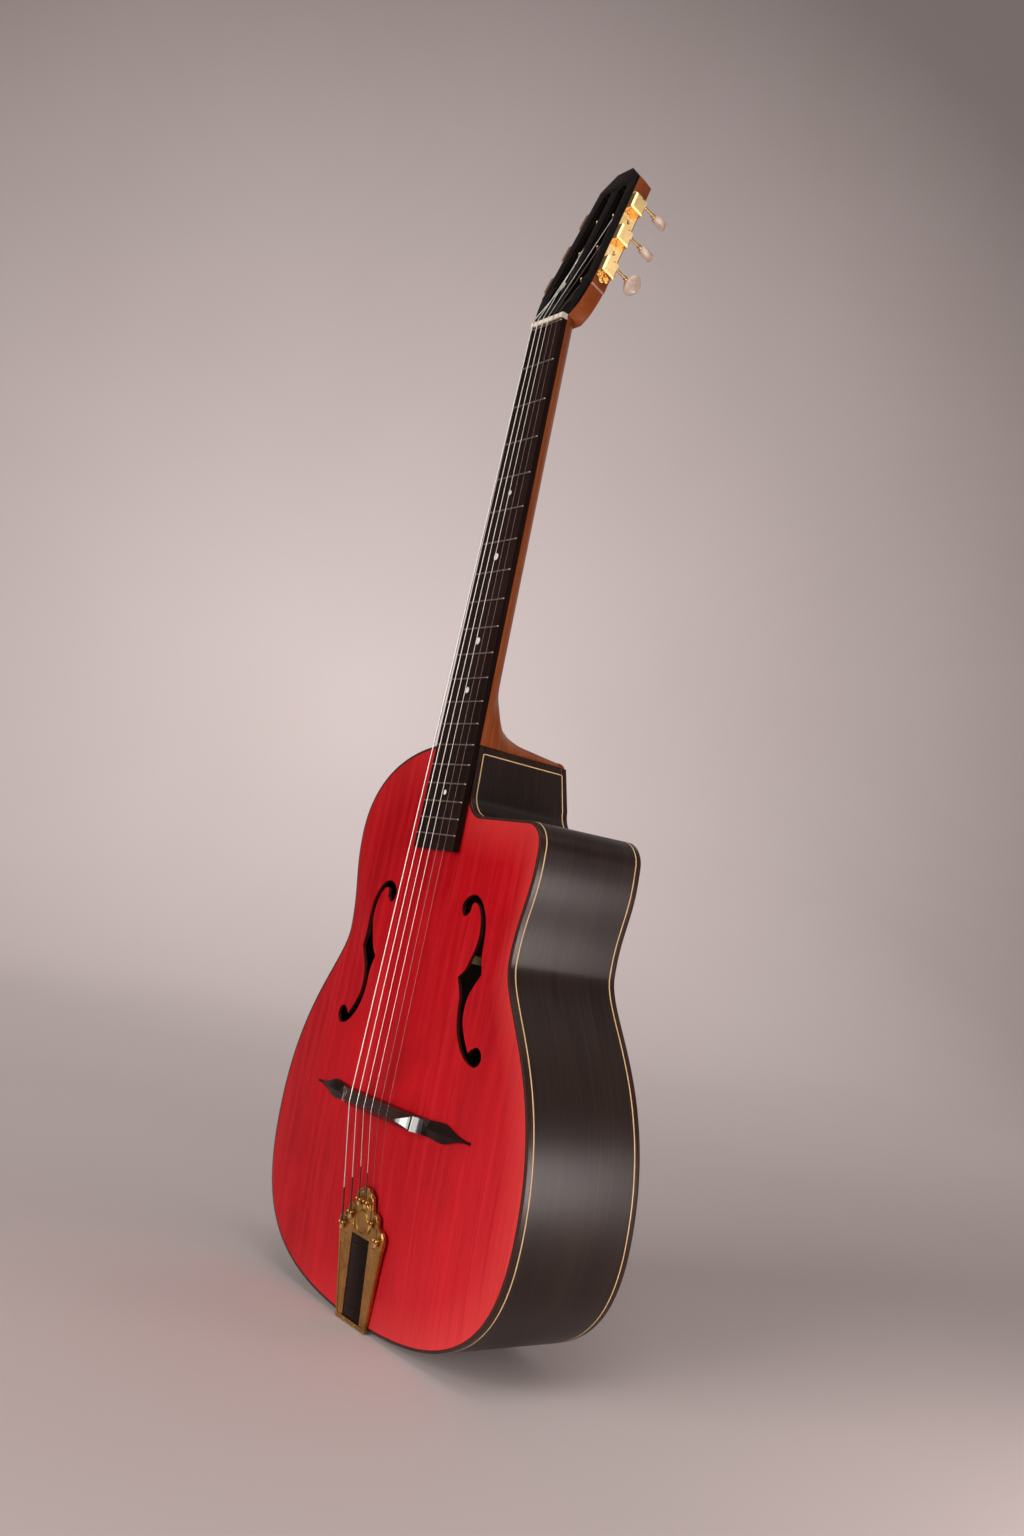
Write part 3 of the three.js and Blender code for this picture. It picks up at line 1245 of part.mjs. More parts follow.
// Bridge: a ridge across the strings that falls away to low ends, seated on the arch.
const crownY = topAt(0, BRIDGE_Z) - BRIDGE_HEIGHT;
function bridgeRing(x, height, top) {
  const foot = BRIDGE_FOOT_DEPTH / 2;
  const seat = (z) => topAt(x, z) - SEAT_GAP;
  const crown = seat(BRIDGE_Z) - height;
  const eave = seat(BRIDGE_Z) - Math.min(height - BRIDGE_CHAMFER, BRIDGE_EAVE_HEIGHT);
  return [
    at(x, seat(BRIDGE_Z - foot), BRIDGE_Z - foot),
    at(x, eave, BRIDGE_Z - foot),
    at(x, crown, BRIDGE_Z - top),
    at(x, crown, BRIDGE_Z + top),
    at(x, eave, BRIDGE_Z + foot),
    at(x, seat(BRIDGE_Z + foot), BRIDGE_Z + foot),
  ];
}

function makeBridge() {
  const crownHeight = (x) => topAt(x, BRIDGE_Z) - crownY - SEAT_GAP;
  const flatTop = BRIDGE_FOOT_DEPTH / 2 - BRIDGE_CHAMFER;
  const ridgeTop = BRIDGE_TOP_DEPTH / 2;
  const ridgeAt = (x) => [x, crownHeight(x), ridgeTop];
  const stations = [
    [BRIDGE_HALF, BRIDGE_END_HEIGHT, flatTop],
    [BRIDGE_HIP_HALF, BRIDGE_EAVE_HEIGHT + BRIDGE_CHAMFER, flatTop],
    ridgeAt(BRIDGE_RIDGE_HALF),
    ridgeAt(BRIDGE_RIDGE_HALF / 2),
    ridgeAt(0),
  ];
  const left = stations.map(([x, ...form]) => bridgeRing(-x, ...form));
  const right = stations.slice(0, -1).reverse();
  const rings = [...left, ...right.map(([x, ...form]) => bridgeRing(x, ...form))];
  place("bridge", loft(rings), [EBONY, 0.35, 0]);

  const wingStart = BRIDGE_HALF + SEAT_GAP;
  const wingLength = WING_TIP_X - wingStart;
  const sections = [
    [0, BRIDGE_FOOT_DEPTH, BRIDGE_END_HEIGHT],
    [WING_WIDE_SHARE, WING_WIDE_DEPTH, WING_HEIGHT],
    [WING_NECK_SHARE, WING_NECK_DEPTH, (WING_HEIGHT + WING_TIP_HEIGHT) / 2],
    [1, WING_TIP_DEPTH, WING_TIP_HEIGHT],
  ];
  for (const [side, label] of [[1, "treble"], [-1, "bass"]]) {
    const wing = loft(
      sections.map(([share, depth, height]) => {
        const x = side * (wingStart + share * wingLength);
        const seat = (z) => topAt(x, z) - SEAT_GAP;
        const [low, high] = [BRIDGE_Z - depth / 2, BRIDGE_Z + depth / 2];
        return [
          at(x, seat(low), low),
          at(x, seat(low) - height * 0.4, low),
          at(x, seat(BRIDGE_Z) - height, BRIDGE_Z),
          at(x, seat(high) - height * 0.4, high),
          at(x, seat(high), high),
        ];
      }),
    );
    place(`bridge_wing_${label}`, wing, [EBONY, 0.35, 0]);
  }
}

// Tailpiece frame: origin on the hinge pin, +Z towards the bridge.
const tailFrame = new THREE.Group();
tailFrame.position.set(0, BARREL_PIN_Y, BARREL_PIN_Z);
tailFrame.rotation.x = TAIL_TILT;
guitar.add(tailFrame);
root.updateMatrixWorld(true);

function hookPost(x, z) {
  const profile = [
    flat(0, -OVERRUN / 2),
    flat(HOOK_POST_RADIUS, -OVERRUN / 2),
    flat(HOOK_POST_RADIUS, HOOK_POST_HEIGHT - HOOK_HEAD_RADIUS),
    flat(HOOK_HEAD_RADIUS, HOOK_POST_HEIGHT),
    flat(HOOK_POST_RADIUS, HOOK_POST_HEIGHT + HOOK_HEAD_RADIUS),
    flat(0, HOOK_POST_HEIGHT + HOOK_HEAD_RADIUS * 1.2),
  ];
  const post = new THREE.LatheGeometry(profile, POST_SIDES).rotateX(Math.PI);
  return post.translate(x, TAIL_FRONT, z);
}

function makeTailpiece() {
  const barrel = PIN_RADIUS + PIN_RUNNING + BARREL_WALL;
  const thickness = TAIL_BACK - TAIL_FRONT;
  const shape = new THREE.Shape();
  const foot = SEAT_GAP * 2;
  shape.moveTo(-TAIL_FOOT_HALF, foot);
  shape.lineTo(TAIL_FOOT_HALF, foot);
  shape.lineTo(TAIL_SHOULDER_HALF, TAIL_SHOULDER_Z);
  shape.lineTo(HOOK_X[0], HOOK_Z[0]);
  shape.lineTo(HOOK_X[1], HOOK_Z[1]);
  shape.lineTo(HOOK_X[2], HOOK_Z[2]);
  shape.lineTo(-HOOK_X[2], HOOK_Z[2]);
  shape.lineTo(-HOOK_X[1], HOOK_Z[1]);
  shape.lineTo(-HOOK_X[0], HOOK_Z[0]);
  shape.lineTo(-TAIL_SHOULDER_HALF, TAIL_SHOULDER_Z);
  const plate = plateOf(shape, TAIL_FRONT, thickness, 1);
  const disc = (x, z, radius) =>
    barAlong("y", radius, TAIL_FRONT, TAIL_BACK, DISC_SIDES).translate(x, 0, z);
  const lobes = [-1, 1].flatMap((side) =>
    HOOK_X.map((x, i) => disc(side * x, HOOK_Z[i], LOBE_RADIUS)),
  );
  const knuckle = (low, high) => barAlong("x", barrel, low, high, HOLE_SIDES);
  const knuckleLow = BRACKET_BARREL_HALF + SEAT_GAP;
  const medallion = new THREE.CylinderGeometry(1, 1, MEDALLION_RISE + SEAT_GAP, DISC_SIDES);
  medallion.scale(MEDALLION_HALF_WIDTH, 1, MEDALLION_HALF_HEIGHT);
  medallion.translate(0, TAIL_FRONT - (MEDALLION_RISE - SEAT_GAP) / 2, MEDALLION_Z);
  const posts = [-1, 1].flatMap((side) =>
    HOOK_X.flatMap((x, i) =>
      [-HOOK_SPREAD, HOOK_SPREAD].map((offset) => hookPost(side * x + offset, HOOK_Z[i])),
    ),
  );
  const whole = join(
    plate,
    ...lobes,
    disc(0, CREST_Z, CREST_RADIUS),
    knuckle(knuckleLow, TAIL_FOOT_HALF),
    knuckle(-TAIL_FOOT_HALF, -knuckleLow),
    medallion,
    ...posts,
  );
  const recess = boxBetween(
    at(-INSERT_HALF - SEAT_GAP, TAIL_FRONT - OVERRUN, INSERT_LOW - SEAT_GAP),
    at(INSERT_HALF + SEAT_GAP, TAIL_FRONT + RECESS_DEPTH, INSERT_HIGH + SEAT_GAP),
  );
  const bore = barAlong(
    "x",
    PIN_RADIUS + PIN_RUNNING,
    -TAIL_FOOT_HALF - OVERRUN,
    TAIL_FOOT_HALF + OVERRUN,
    HOLE_SIDES,
  );
  const knuckleGap = boxBetween(
    at(-knuckleLow, -barrel - OVERRUN, -barrel - OVERRUN),
    at(knuckleLow, barrel + OVERRUN, barrel + SEAT_GAP),
  );
  place("tailpiece", cut(whole, recess, bore, knuckleGap), [BRASS, 0.35, 1], tailFrame);
  const recessFloor = TAIL_FRONT + RECESS_DEPTH;
  const insert = boxBetween(
    at(-INSERT_HALF, recessFloor - SEAT_GAP - INSERT_THICKNESS, INSERT_LOW),
    at(INSERT_HALF, recessFloor - SEAT_GAP, INSERT_HIGH),
  );
  place("tailpiece_insert", insert, [EBONY, 0.35, 0], tailFrame);
  const pin = barAlong("x", PIN_RADIUS, -TAIL_FOOT_HALF, TAIL_FOOT_HALF, HOLE_SIDES);
  place("tailpiece_pin", pin, [STEEL, 0.3, 1], tailFrame);

  // Bracket on the tail end, with the middle knuckle of the hinge
  const outerFace = -SEAT_GAP - BRACKET_THICKNESS;
  const bracketPlate = boxBetween(
    at(-BRACKET_HALF, SEAT_GAP, outerFace),
    at(BRACKET_HALF, BRACKET_LENGTH, -SEAT_GAP),
  );
  const tongue = boxBetween(
    at(-BRACKET_BARREL_HALF, BARREL_PIN_Y, outerFace),
    at(BRACKET_BARREL_HALF, SEAT_GAP * 2, -SEAT_GAP),
  );
  const reach = BRACKET_BARREL_HALF;
  const middle = barAlong("x", barrel, -reach, reach, HOLE_SIDES);
  middle.translate(0, BARREL_PIN_Y, BARREL_PIN_Z);
  const bored = PIN_RADIUS + PIN_RUNNING;
  const pinBore = barAlong("x", bored, -BRACKET_HALF, BRACKET_HALF, HOLE_SIDES);
  pinBore.translate(0, BARREL_PIN_Y, BARREL_PIN_Z);
  const holes = SCREW_PLACES.map((spot) => screwAt(spot, SCREW_CLEARANCE));
  const bracket = cut(join(bracketPlate, tongue, middle), pinBore, ...holes);
  place("tail_bracket", bracket, [BRASS, 0.4, 1]);
  SCREW_PLACES.forEach((spot, i) => {
    place(`bracket_screw_${i + 1}`, screwAt(spot, 0), [BRASS, 0.35, 1]);
  });
}

// Least distance between two stretches of a tube that are not neighbours, less its thickness.
function leastGap(points, radius) {
  let least = Infinity;
  const apart = Math.round(WIND_STEPS / 2);
  points.forEach((p, i) => {
    points.slice(i + apart).forEach((q) => {
      least = Math.min(least, p.distanceTo(q) - 2 * radius);
    });
  });
  return least;
}

// Strings: ball end, over the bridge and the nut, then wound on the post.
function makeStrings() {
  const inWorld = (frame, point) => point.applyMatrix4(frame.matrixWorld);
  for (const { frame, string } of SIDES) {
    for (let k = 0; k < TUNERS_PER_SIDE; k++) {
      const i = string(k);
      const radius = STRING_RADII[i];
      const side = Math.sign(stringShare(i));
      const hook = (up) => {
        const y = TAIL_FRONT - BALL_RADIUS - SEAT_GAP;
        return inWorld(tailFrame, at(side * HOOK_X[k], y, HOOK_Z[k] + up));
      };
      const bridgeX = stringShare(i) * BRIDGE_SPREAD;
      const overBridge = (run) =>
        inWorld(guitar, at(bridgeX, crownY - SEAT_GAP - radius, BRIDGE_Z + run));
      const nutY = -NUT_RISE + NUT_SLOT_DEPTH - SEAT_GAP - radius;
      const overNut = (run) => inWorld(neckFrame, at(nutStringX(i), nutY, nutZ + run));
      const wound = BARREL_RADIUS + SEAT_GAP + radius;
      const start = -postReach(k) + WIND_OFFSETS[k];
      const winding = Array.from({ length: WIND_TURNS * WIND_STEPS + 1 }, (_, n) => {
        const turn = n / WIND_STEPS;
        const angle = turn * FULL_TURN;
        return at(
          start + turn * (2 * radius + WIND_GAP),
          postY - wound * Math.cos(angle),
          postZ(k) + wound * Math.sin(angle),
        );
      });
      const gap = leastGap(winding, radius);
      console.log(`string ${i + 1}: least gap between turns ${gap.toFixed(2)} mm`);
      const ballTop = -HOOK_HEAD_RADIUS - SEAT_GAP;
      const points = [
        hook(ballTop - BALL_LENGTH),
        hook(ballTop),
        hook(ballTop + SEAT_GAP),
        overBridge(-BRIDGE_TOP_DEPTH / 2),
        overBridge(BRIDGE_TOP_DEPTH / 2),
        overNut(0),
        overNut(NUT_THICKNESS),
        ...winding.map((p) => inWorld(frame, p)),
      ];
      const radii = points.map((_, n) => (n < 2 ? BALL_RADIUS : radius));
      const finish = [STEEL, 0.3, 1];
      place(`string_${i + 1}`, tubeAlong(points, radii, STRING_SIDES), finish, root);
    }
  }
}

makeBody();
makeBraces();
makeNeck();
makeFretboard();
makeTuners();
makeBridge();
makeTailpiece();
makeStrings();

export default root;
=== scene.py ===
"""A gypsy jazz guitar in its photographed finish. Lengths are millimetres until build()."""
from math import atan, atan2, cos, pi, radians, sin

import bmesh
import bpy
import numpy as np
from mathutils import Matrix, Vector
from mathutils.geometry import delaunay_2d_cdt


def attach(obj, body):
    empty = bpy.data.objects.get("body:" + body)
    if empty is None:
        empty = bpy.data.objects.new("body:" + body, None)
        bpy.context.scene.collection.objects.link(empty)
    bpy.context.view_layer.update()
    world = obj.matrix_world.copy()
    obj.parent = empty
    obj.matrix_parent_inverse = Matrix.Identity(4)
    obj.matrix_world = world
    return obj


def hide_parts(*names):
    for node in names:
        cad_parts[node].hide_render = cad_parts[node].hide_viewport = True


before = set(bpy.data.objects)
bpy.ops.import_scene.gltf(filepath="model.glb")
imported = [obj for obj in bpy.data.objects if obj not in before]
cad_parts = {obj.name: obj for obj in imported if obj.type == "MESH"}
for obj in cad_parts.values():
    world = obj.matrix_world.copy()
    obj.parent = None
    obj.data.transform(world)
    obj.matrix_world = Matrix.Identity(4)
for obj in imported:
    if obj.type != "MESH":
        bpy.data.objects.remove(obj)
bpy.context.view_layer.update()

MM = 0.001

# Sizes shared with the CAD source
SCALE_LENGTH = 670
NUT_Z = SCALE_LENGTH * (1 - 2 ** (-14 / 12))
NECK_TILT = 1.9
BRIDGE_Z = 166.7
BODY_FRET_Z = BRIDGE_Z + (SCALE_LENGTH - NUT_Z) * cos(radians(NECK_TILT))
LENGTH = BODY_FRET_Z + 1
LOWER, LOWER_Z = 186.3, LENGTH * 0.2721
WAIST, WAIST_Z = 121.8, LENGTH * 0.6466
UPPER, UPPER_Z = 133, LENGTH * 0.8174
HEEL_FLAT, HORN_Z, CORNER = 28, UPPER_Z + 28.1, 20
ARCH_CENTRE = LENGTH * 0.4077
TAIL_DEPTH, NECK_DEPTH = 111.7, 98.7
BAND_Z = LENGTH - 6.5
F_HOLE = [
    (0.24, 1), (0.39, 0.976), (0.52, 0.913), (0.6, 0.835), (0.628, 0.74), (0.633, 0.646),
    (0.683, 0.535), (0.583, 0.465), (0.5, 0.394), (0.467, 0.307), (0.492, 0.228),
    (0.592, 0.146), (0.717, 0.071), (0.755, 0.092), (0.875, 0.118), (0.975, 0.094),
    (1, 0.047), (0.917, 0.004), (0.783, 0.006), (0.633, 0.039), (0.483, 0.11),
    (0.392, 0.189), (0.342, 0.283), (0.325, 0.378), (0.267, 0.449), (0.225, 0.49),
    (0.342, 0.543), (0.433, 0.63), (0.5, 0.724), (0.495, 0.811), (0.433, 0.894),
    (0.325, 0.945), (0.233, 0.945), (0.205, 0.894), (0.1, 0.858), (0.017, 0.885),
    (0.003, 0.937), (0.1, 0.982),
]
F_HOLE_CORNERS = {6, 12, 25, 33}


def moved(x, y, z):
    return Matrix.Translation((x, y, z))


def turned(axis, degrees):
    return Matrix.Rotation(radians(degrees), 4, axis)


RAISED = 2.3
GUITAR = moved(0, 0, RAISED)
NECK = GUITAR @ moved(0, -5.5, BODY_FRET_Z) @ turned("X", -NECK_TILT)
HEAD = NECK @ moved(0, 3, NUT_Z + 5.3) @ turned("X", -15)
TAIL = GUITAR @ moved(0, -2.1, -0.6) @ turned("X", 4.1)
HEAD_HALF, TOP_HALF, NUT_HALF, JOINT_HALF = 35, 26.5, 21.9, 28.2
TAPER = (HEAD_HALF - TOP_HALF) / 124
LABELS = {1: "treble", -1: "bass"}
SIDES = {
    side: HEAD @ Matrix.Diagonal((side, 1, 1, 1)) @ moved(HEAD_HALF, 0, 28)
    @ Matrix.Rotation(-atan(TAPER), 4, "Y")
    for side in (1, -1)
}


# Materials
def rgb(code):
    """Linear colour from an sRGB code such as 0xb91622."""
    parts = [((code >> s) & 255) / 255 for s in (16, 8, 0)]
    return [c / 12.92 if c < 0.04045 else ((c + 0.055) / 1.055) ** 2.4 for c in parts] + [1]


class Finish:
    """A material whose nodes are added one by one."""

    def __init__(self, name, **sockets):
        self.material = bpy.data.materials.new(name)
        self.material.use_nodes = True
        self.nodes = self.material.node_tree.nodes
        self.links = self.material.node_tree.links
        self.shader = self.nodes["Principled BSDF"]
        for key, value in sockets.items():
            label = key.replace("_", " ").title().replace("Ior", "IOR")
            self.shader.inputs[label].default_value = value

    def add(self, kind, settings=None, **inputs):
        node = self.nodes.new("ShaderNode" + kind)
        for key, value in (settings or {}).items():
            setattr(node, key, value)
        for key, value in inputs.items():
            self.feed(node.inputs[int(key[1:]) if key[1:].isdigit() else key], value)
        return node

    def feed(self, socket, value):
        if isinstance(value, bpy.types.NodeSocket):
            self.links.new(value, socket)
        else:
            socket.default_value = value

    def read(self, source, output="Vector"):
        """The object's own coordinates, or a layer of values stored with its mesh."""
        if source == "Object":
            return self.add("TexCoord").outputs["Object"]
        return self.add("Attribute", {"attribute_name": source}).outputs[output]

    def noise(self, scale, detail=4, rough=0.55, distortion=0.0, source="Object"):
        """Noise stretched by a scale for each axis, in repeats per metre."""
        coords = self.add("Mapping", Vector=self.read(source), Scale=scale).outputs[0]
        return self.add("TexNoise", Vector=coords, Scale=1.0, Detail=detail, Roughness=rough,
            Distortion=distortion).outputs["Fac"]

    def span(self, value, low, high, out_low=0.0, out_high=1.0):
        return self.add("MapRange", i0=value, i1=low, i2=high, i3=out_low, i4=out_high).outputs[0]

    def blend(self, share, first, second):
        return self.add("Mix", {"data_type": "RGBA"}, Factor=share, i6=first, i7=second).outputs[2]

    def compute(self, operation, first, second=0.0):
        return self.add("Math", {"operation": operation}, i0=first, i1=second).outputs[0]

    def product(self, first, second):
        return self.compute("MULTIPLY", first, second)

    def finish(self, color, roughness=None, height=None, depth=0.02, strength=1.0):
        self.feed(self.shader.inputs["Base Color"], color)
        if roughness is not None:
            self.feed(self.shader.inputs["Roughness"], roughness)
        if height is not None:
            bump = self.add("Bump", Height=height, Strength=strength, Distance=depth * MM)
            self.feed(self.shader.inputs["Normal"], bump.outputs[0])
        return self.material


def red_spruce():
    """Red-stained spruce. Lighter and pinker towards the lower right and at the rim there: a painted
    sheen. Darker towards the top and the left: partly the stain, partly painted shade.
    """
    f = Finish("red_spruce", specular_ior_level=0.07)
    lines = f.noise((800, 60, 5), detail=3, rough=0.6, distortion=0.1)
    fibre = f.noise((2600, 300, 60), detail=3, rough=0.6)
    cloud = f.noise((14, 14, 7), detail=6, rough=0.62, distortion=0.5)
    streak = f.noise((130, 40, 6), detail=4, rough=0.6)
    rim = f.read("share", "Fac")
    across, _, height = f.add("SeparateXYZ", Vector=f.read("Object")).outputs
    right = f.span(across, -0.12, 0.14, 0.15, 1)
    low = f.product(f.span(height, 0.34, 0.02), right)
    base = f.blend(f.span(cloud, 0.34, 0.68), rgb(0x90000A), rgb(0xBE0C18))
    for share, code in (
        # darker towards the top and the left: partly the stain, partly painted shade
        (f.span(height, 0.18, 0.44, 0, 0.6), 0x8C000A),
        (f.span(across, -0.02, -0.16, 0, 0.4), 0x8C000A),
        # lighter and pinker towards the rim in the lower right and along the right rim: a painted sheen
        (f.product(f.span(rim, 0.3, 1.0, 0.3, 0.8), low), 0xD03038),
        (f.product(f.span(rim, 0.84, 1.0, 0, 0.4), right), 0xE4524C),
        (f.span(streak, 0.46, 0.72, 0, 0.42), 0xCC2830),
        (f.span(lines, 0.5, 0.64, 0, 0.36), 0x840008),
        (f.span(fibre, 0.55, 0.75, 0, 0.22), 0xD03434),
    ):
        base = f.blend(share, base, rgb(code))
    return f.finish(base, f.span(fibre, 0.3, 0.7, 0.32, 0.4), lines, 0.03, 0.35)


def wood(name, dark, light, accent, source="grain", rough=(0.3, 0.42), shine=0.2,
        along=(6, 420, 420), fine=(40, 2600, 2600), depth=0.03):
    """A wood whose fibres follow the first axis of its coordinates."""
    f = Finish(name, specular_ior_level=shine)
    bands = f.noise(along, detail=5, rough=0.65, distortion=0.2, source=source)
    fibre = f.noise(fine, detail=3, rough=0.7, source=source)
    broad = f.noise((9, 30, 30), detail=3, rough=0.5, source=source)
    pores = [c * 0.45 for c in rgb(dark)[:3]] + [1]
    base = f.blend(f.span(broad, 0.35, 0.7), rgb(dark), rgb(light))
    base = f.blend(f.span(bands, 0.48, 0.7, 0, 0.6), base, rgb(accent))
    base = f.blend(f.span(fibre, 0.58, 0.72, 0, 0.5), base, pores)
    return f.finish(base, f.span(fibre, 0.35, 0.7, *rough), fibre, depth, 0.6)


def plain(name, base, other, rough=(0.3, 0.42), metallic=0.0, scale=90, depth=0.01, coat=0.0,
        grit=900, **sockets):
    """A material in patches of two close colours, with a fine grit."""
    f = Finish(name, metallic=metallic, coat_weight=coat, coat_roughness=0.12, **sockets)
    patch = f.noise((scale,) * 3, detail=5, rough=0.6)
    grain = f.noise((grit,) * 3, detail=3, rough=0.6)
    tone = f.blend(f.span(patch, 0.35, 0.7), rgb(base), rgb(other))
    return f.finish(tone, f.span(grain, 0.3, 0.7, *rough), grain, depth, 0.5)


def polished_wood():
    f = Finish("polished_bridge_wood", coat_weight=1.0, coat_ior=1.9, coat_roughness=0.06,
        specular_ior_level=0.5)
    bands = f.noise((9, 800, 800), detail=4, rough=0.6, source="sideways")
    tone = f.blend(f.span(bands, 0.4, 0.7), rgb(0x120A08), rgb(0x241512))
    return f.finish(tone, f.span(bands, 0.3, 0.7, 0.1, 0.16))


def old_brass():
    f = Finish("antique_brass", metallic=1.0)
    patch = f.noise((70, 70, 70), detail=6, rough=0.65, distortion=0.4)
    spots = f.noise((420, 420, 420), detail=4, rough=0.7)
    brush = f.noise((2400, 600, 90), detail=2, rough=0.5)
    tone = f.blend(f.span(patch, 0.35, 0.68), rgb(0xD2A662), rgb(0xA67C40))
    tone = f.blend(f.span(spots, 0.58, 0.74, 0, 0.6), tone, rgb(0x55391B))
    rough = f.span(patch, 0.3, 0.7, 0.2, 0.36)
    return f.finish(tone, rough, f.blend(0.5, spots, brush), 0.03, 0.4)


def wound_wire(winding=0.28 * MM):
    f = Finish("wound_wire", metallic=1.0, roughness=0.36)
    along = f.add("SeparateXYZ", Vector=f.read("grain")).outputs["X"]
    # the grooves between the turns are painted darker than the crests: painted shade in the grooves
    lift_and_shade = f.span(f.compute("SINE", f.product(along, 2 * pi / winding)), -1, 1)
    return f.finish(f.blend(lift_and_shade, rgb(0xD8D2C8), rgb(0xFAF6EE)), None, lift_and_shade, 0.03, 0.4)


DARK_WOOD = (0x221612, 0x30221C, 0x3E2D25)
DENSE = {"along": (9, 800, 800), "fine": (40, 3000, 3000), "rough": (0.24, 0.34),
    "depth": 0.004, "source": "sideways"}
M = {
    "red": red_spruce(),
    "red_edge": plain("red_cut_edge", 0x5A140E, 0x34100C, (0.5, 0.6), scale=300),
    "side": wood("dark_side_wood", *DARK_WOOD, rough=(0.3, 0.38), shine=0.3),
    "back": wood("dark_back_wood", *DARK_WOOD, "upright", (0.3, 0.4), 0.32),
    "binding": wood("dark_binding_wood", 0x2A1712, 0x382018, 0x452A1F,
        rough=(0.24, 0.34), shine=0.35),
    "cream": plain("cream_line", 0xFFDCA4, 0xF2C88C, (0.4, 0.55), specular_ior_level=0.25),
    "mahogany": wood("mahogany", 0x8A411C, 0xA65326, 0xB76A35, "upright", (0.36, 0.5),
        0.16, (10, 260, 260), (70, 1900, 1900)),
    "pale_wood_and_highlight": wood("pale_mahogany_and_painted_highlight", 0xB98A74, 0xCFA48E, 0xA87660, "upright", (0.5, 0.6)),
    "inner": wood("inner_mahogany", 0x7D4630, 0x91573C, 0x9B6144, "upright", (0.6, 0.75)),
    "spruce": wood("raw_spruce", 0xC9A26B, 0xD8B781, 0xB98B55, "upright", (0.65, 0.8),
        along=(8, 600, 600)),
    "board": wood("fretboard_wood", 0x190F0D, 0x241714, 0x342420, "upright",
        (0.36, 0.48), 0.03, (7, 700, 700), (30, 3000, 3000)),
    "bridge": wood("bridge_wood", 0x1C100E, 0x2A1916, 0x38231E, shine=0.3, **DENSE),
    "wing": wood("bridge_wing_wood", 0x120A08, 0x1C110F, 0x2A1A16, shine=0.1, **DENSE),
    "polished": polished_wood(),
    "veneer": wood("headstock_black", 0x0A0706, 0x120E0C, 0x1A1310, "upright",
        (0.24, 0.34), 0.07, depth=0.01),
    "insert": wood("insert_wood", 0x120A08, 0x1C110F, 0x2C1E19, "upright",
        shine=0.08, along=(8, 900, 900)),
    "bone": plain("bone", 0xE4D8C8, 0xD2C2AC, coat=0.1),
    "pearl": plain("dot_pearl", 0xE9E4D8, 0xC9C7C2, (0.15, 0.3), coat=0.5, scale=500),
    "ivory": plain("button_ivory", 0xE9D3C2, 0xDCC0AC, (0.24, 0.34), coat=0.15, scale=120,
        subsurface_weight=0.15, subsurface_scale=0.002),
    "brass": old_brass(),
    "gold": plain("gold_plate", 0xF2CF94, 0xE8C07E, (0.16, 0.24), 1.0, 160, 0.003),
    # the dark discs on the tuner covers: painted shade of holes
    "painted_hole_shade": plain("painted_hole_shade", 0x4A3B22, 0x2E2414, (0.35, 0.5), 1.0),
    "fret": plain("fret_metal", 0xB8A898, 0x94847A, (0.22, 0.34), 1.0, 300),
    "steel": plain("steel", 0x96807A, 0x7C6A64, (0.28, 0.36), 1.0, 300),
    "wire": wound_wire(),
    "silk": plain("string_silk", 0x2B1519, 0x42191F, (0.6, 0.8), depth=0.05, grit=4000),
}
ORDERS = (("grain", (0, 1, 2)), ("upright", (2, 0, 1)), ("sideways", (0, 2, 1)))


# Geometry
def merge(*parts):
    points, faces = [], []
    for p, f in parts:
        faces += [[i + len(points) for i in face] for face in f]
        points += [tuple(q) for q in p]
    return points, faces


def place(part, matrix):
    """The part turned, mirrored and moved."""
    matrix = np.array(matrix)
    return np.asarray(part[0], float) @ matrix[:3, :3].T + matrix[:3, 3], part[1]


def loft(rings, caps=True):
    """Rings of points joined one after the other, and closed at both ends."""
    rings = np.asarray(rings, float)
    rows, count = rings.shape[:2]
    faces = []
    for first in range(0, (rows - 1) * count, count):
        for i in range(count):
            a, b = first + i, first + (i + 1) % count
            faces.append([a, b, b + count, a + count])
    if caps:
        faces += [list(range(count))[::-1], list(range((rows - 1) * count, rows * count))]
    return rings.reshape(-1, 3), faces


def hoop(rings):
    """Rings joined one after the other, the last to the first."""
    rings = np.asarray(rings, float)
    count = rings.shape[0] * rings.shape[1]
    points, faces = loft(np.concatenate([rings, rings[:1]]), caps=False)
    return points[:count], [[i % count for i in f] for f in faces]


def circle(steps):
    return np.arange(steps) / steps * 2 * pi


AXES = {"x": (0, 1, 2), "y": (1, 2, 0), "z": (2, 0, 1)}


def lathe(profile, axis="y", sides=24):
    """A profile of (radius, place along the axis), turned about that axis."""
    a, b, c = AXES[axis]
    rings = np.zeros((len(profile), sides, 3))
    for ring, (radius, along) in zip(rings, profile):
        ring[:, a] = along
        ring[:, b] = max(radius, 0.001) * np.cos(circle(sides))
        ring[:, c] = max(radius, 0.001) * np.sin(circle(sides))
    return loft(rings)


def unit(v):
    return v / np.maximum(np.linalg.norm(v, axis=-1, keepdims=True), 1e-9)


def run_of(path):
    """How far along a path each of its points lies."""
    return np.concatenate([[0], np.cumsum(np.linalg.norm(np.diff(path, axis=0), axis=1))])


def tube(points, radii, sides=10):
    points = np.asarray(points, float)
    ahead = unit(np.gradient(points, axis=0))
    side = np.cross(ahead[0], (0, 0, 1) if abs(ahead[0][2]) < 0.9 else (1, 0, 0))
    rings, turn = [], circle(sides)[:, None]
    for p, a, r in zip(points, ahead, radii):
        side = unit(side - a * side.dot(a))
        rings.append(p + r * (np.cos(turn) * side + np.sin(turn) * np.cross(a, side)))
    return loft(rings)


def hermite(t, a, b, slope_a, slope_b):
    return ((2 * t**3 - 3 * t**2 + 1) * a + (t**3 - 2 * t**2 + t) * slope_a
        + (3 * t**2 - 2 * t**3) * b + (t**3 - t**2) * slope_b)


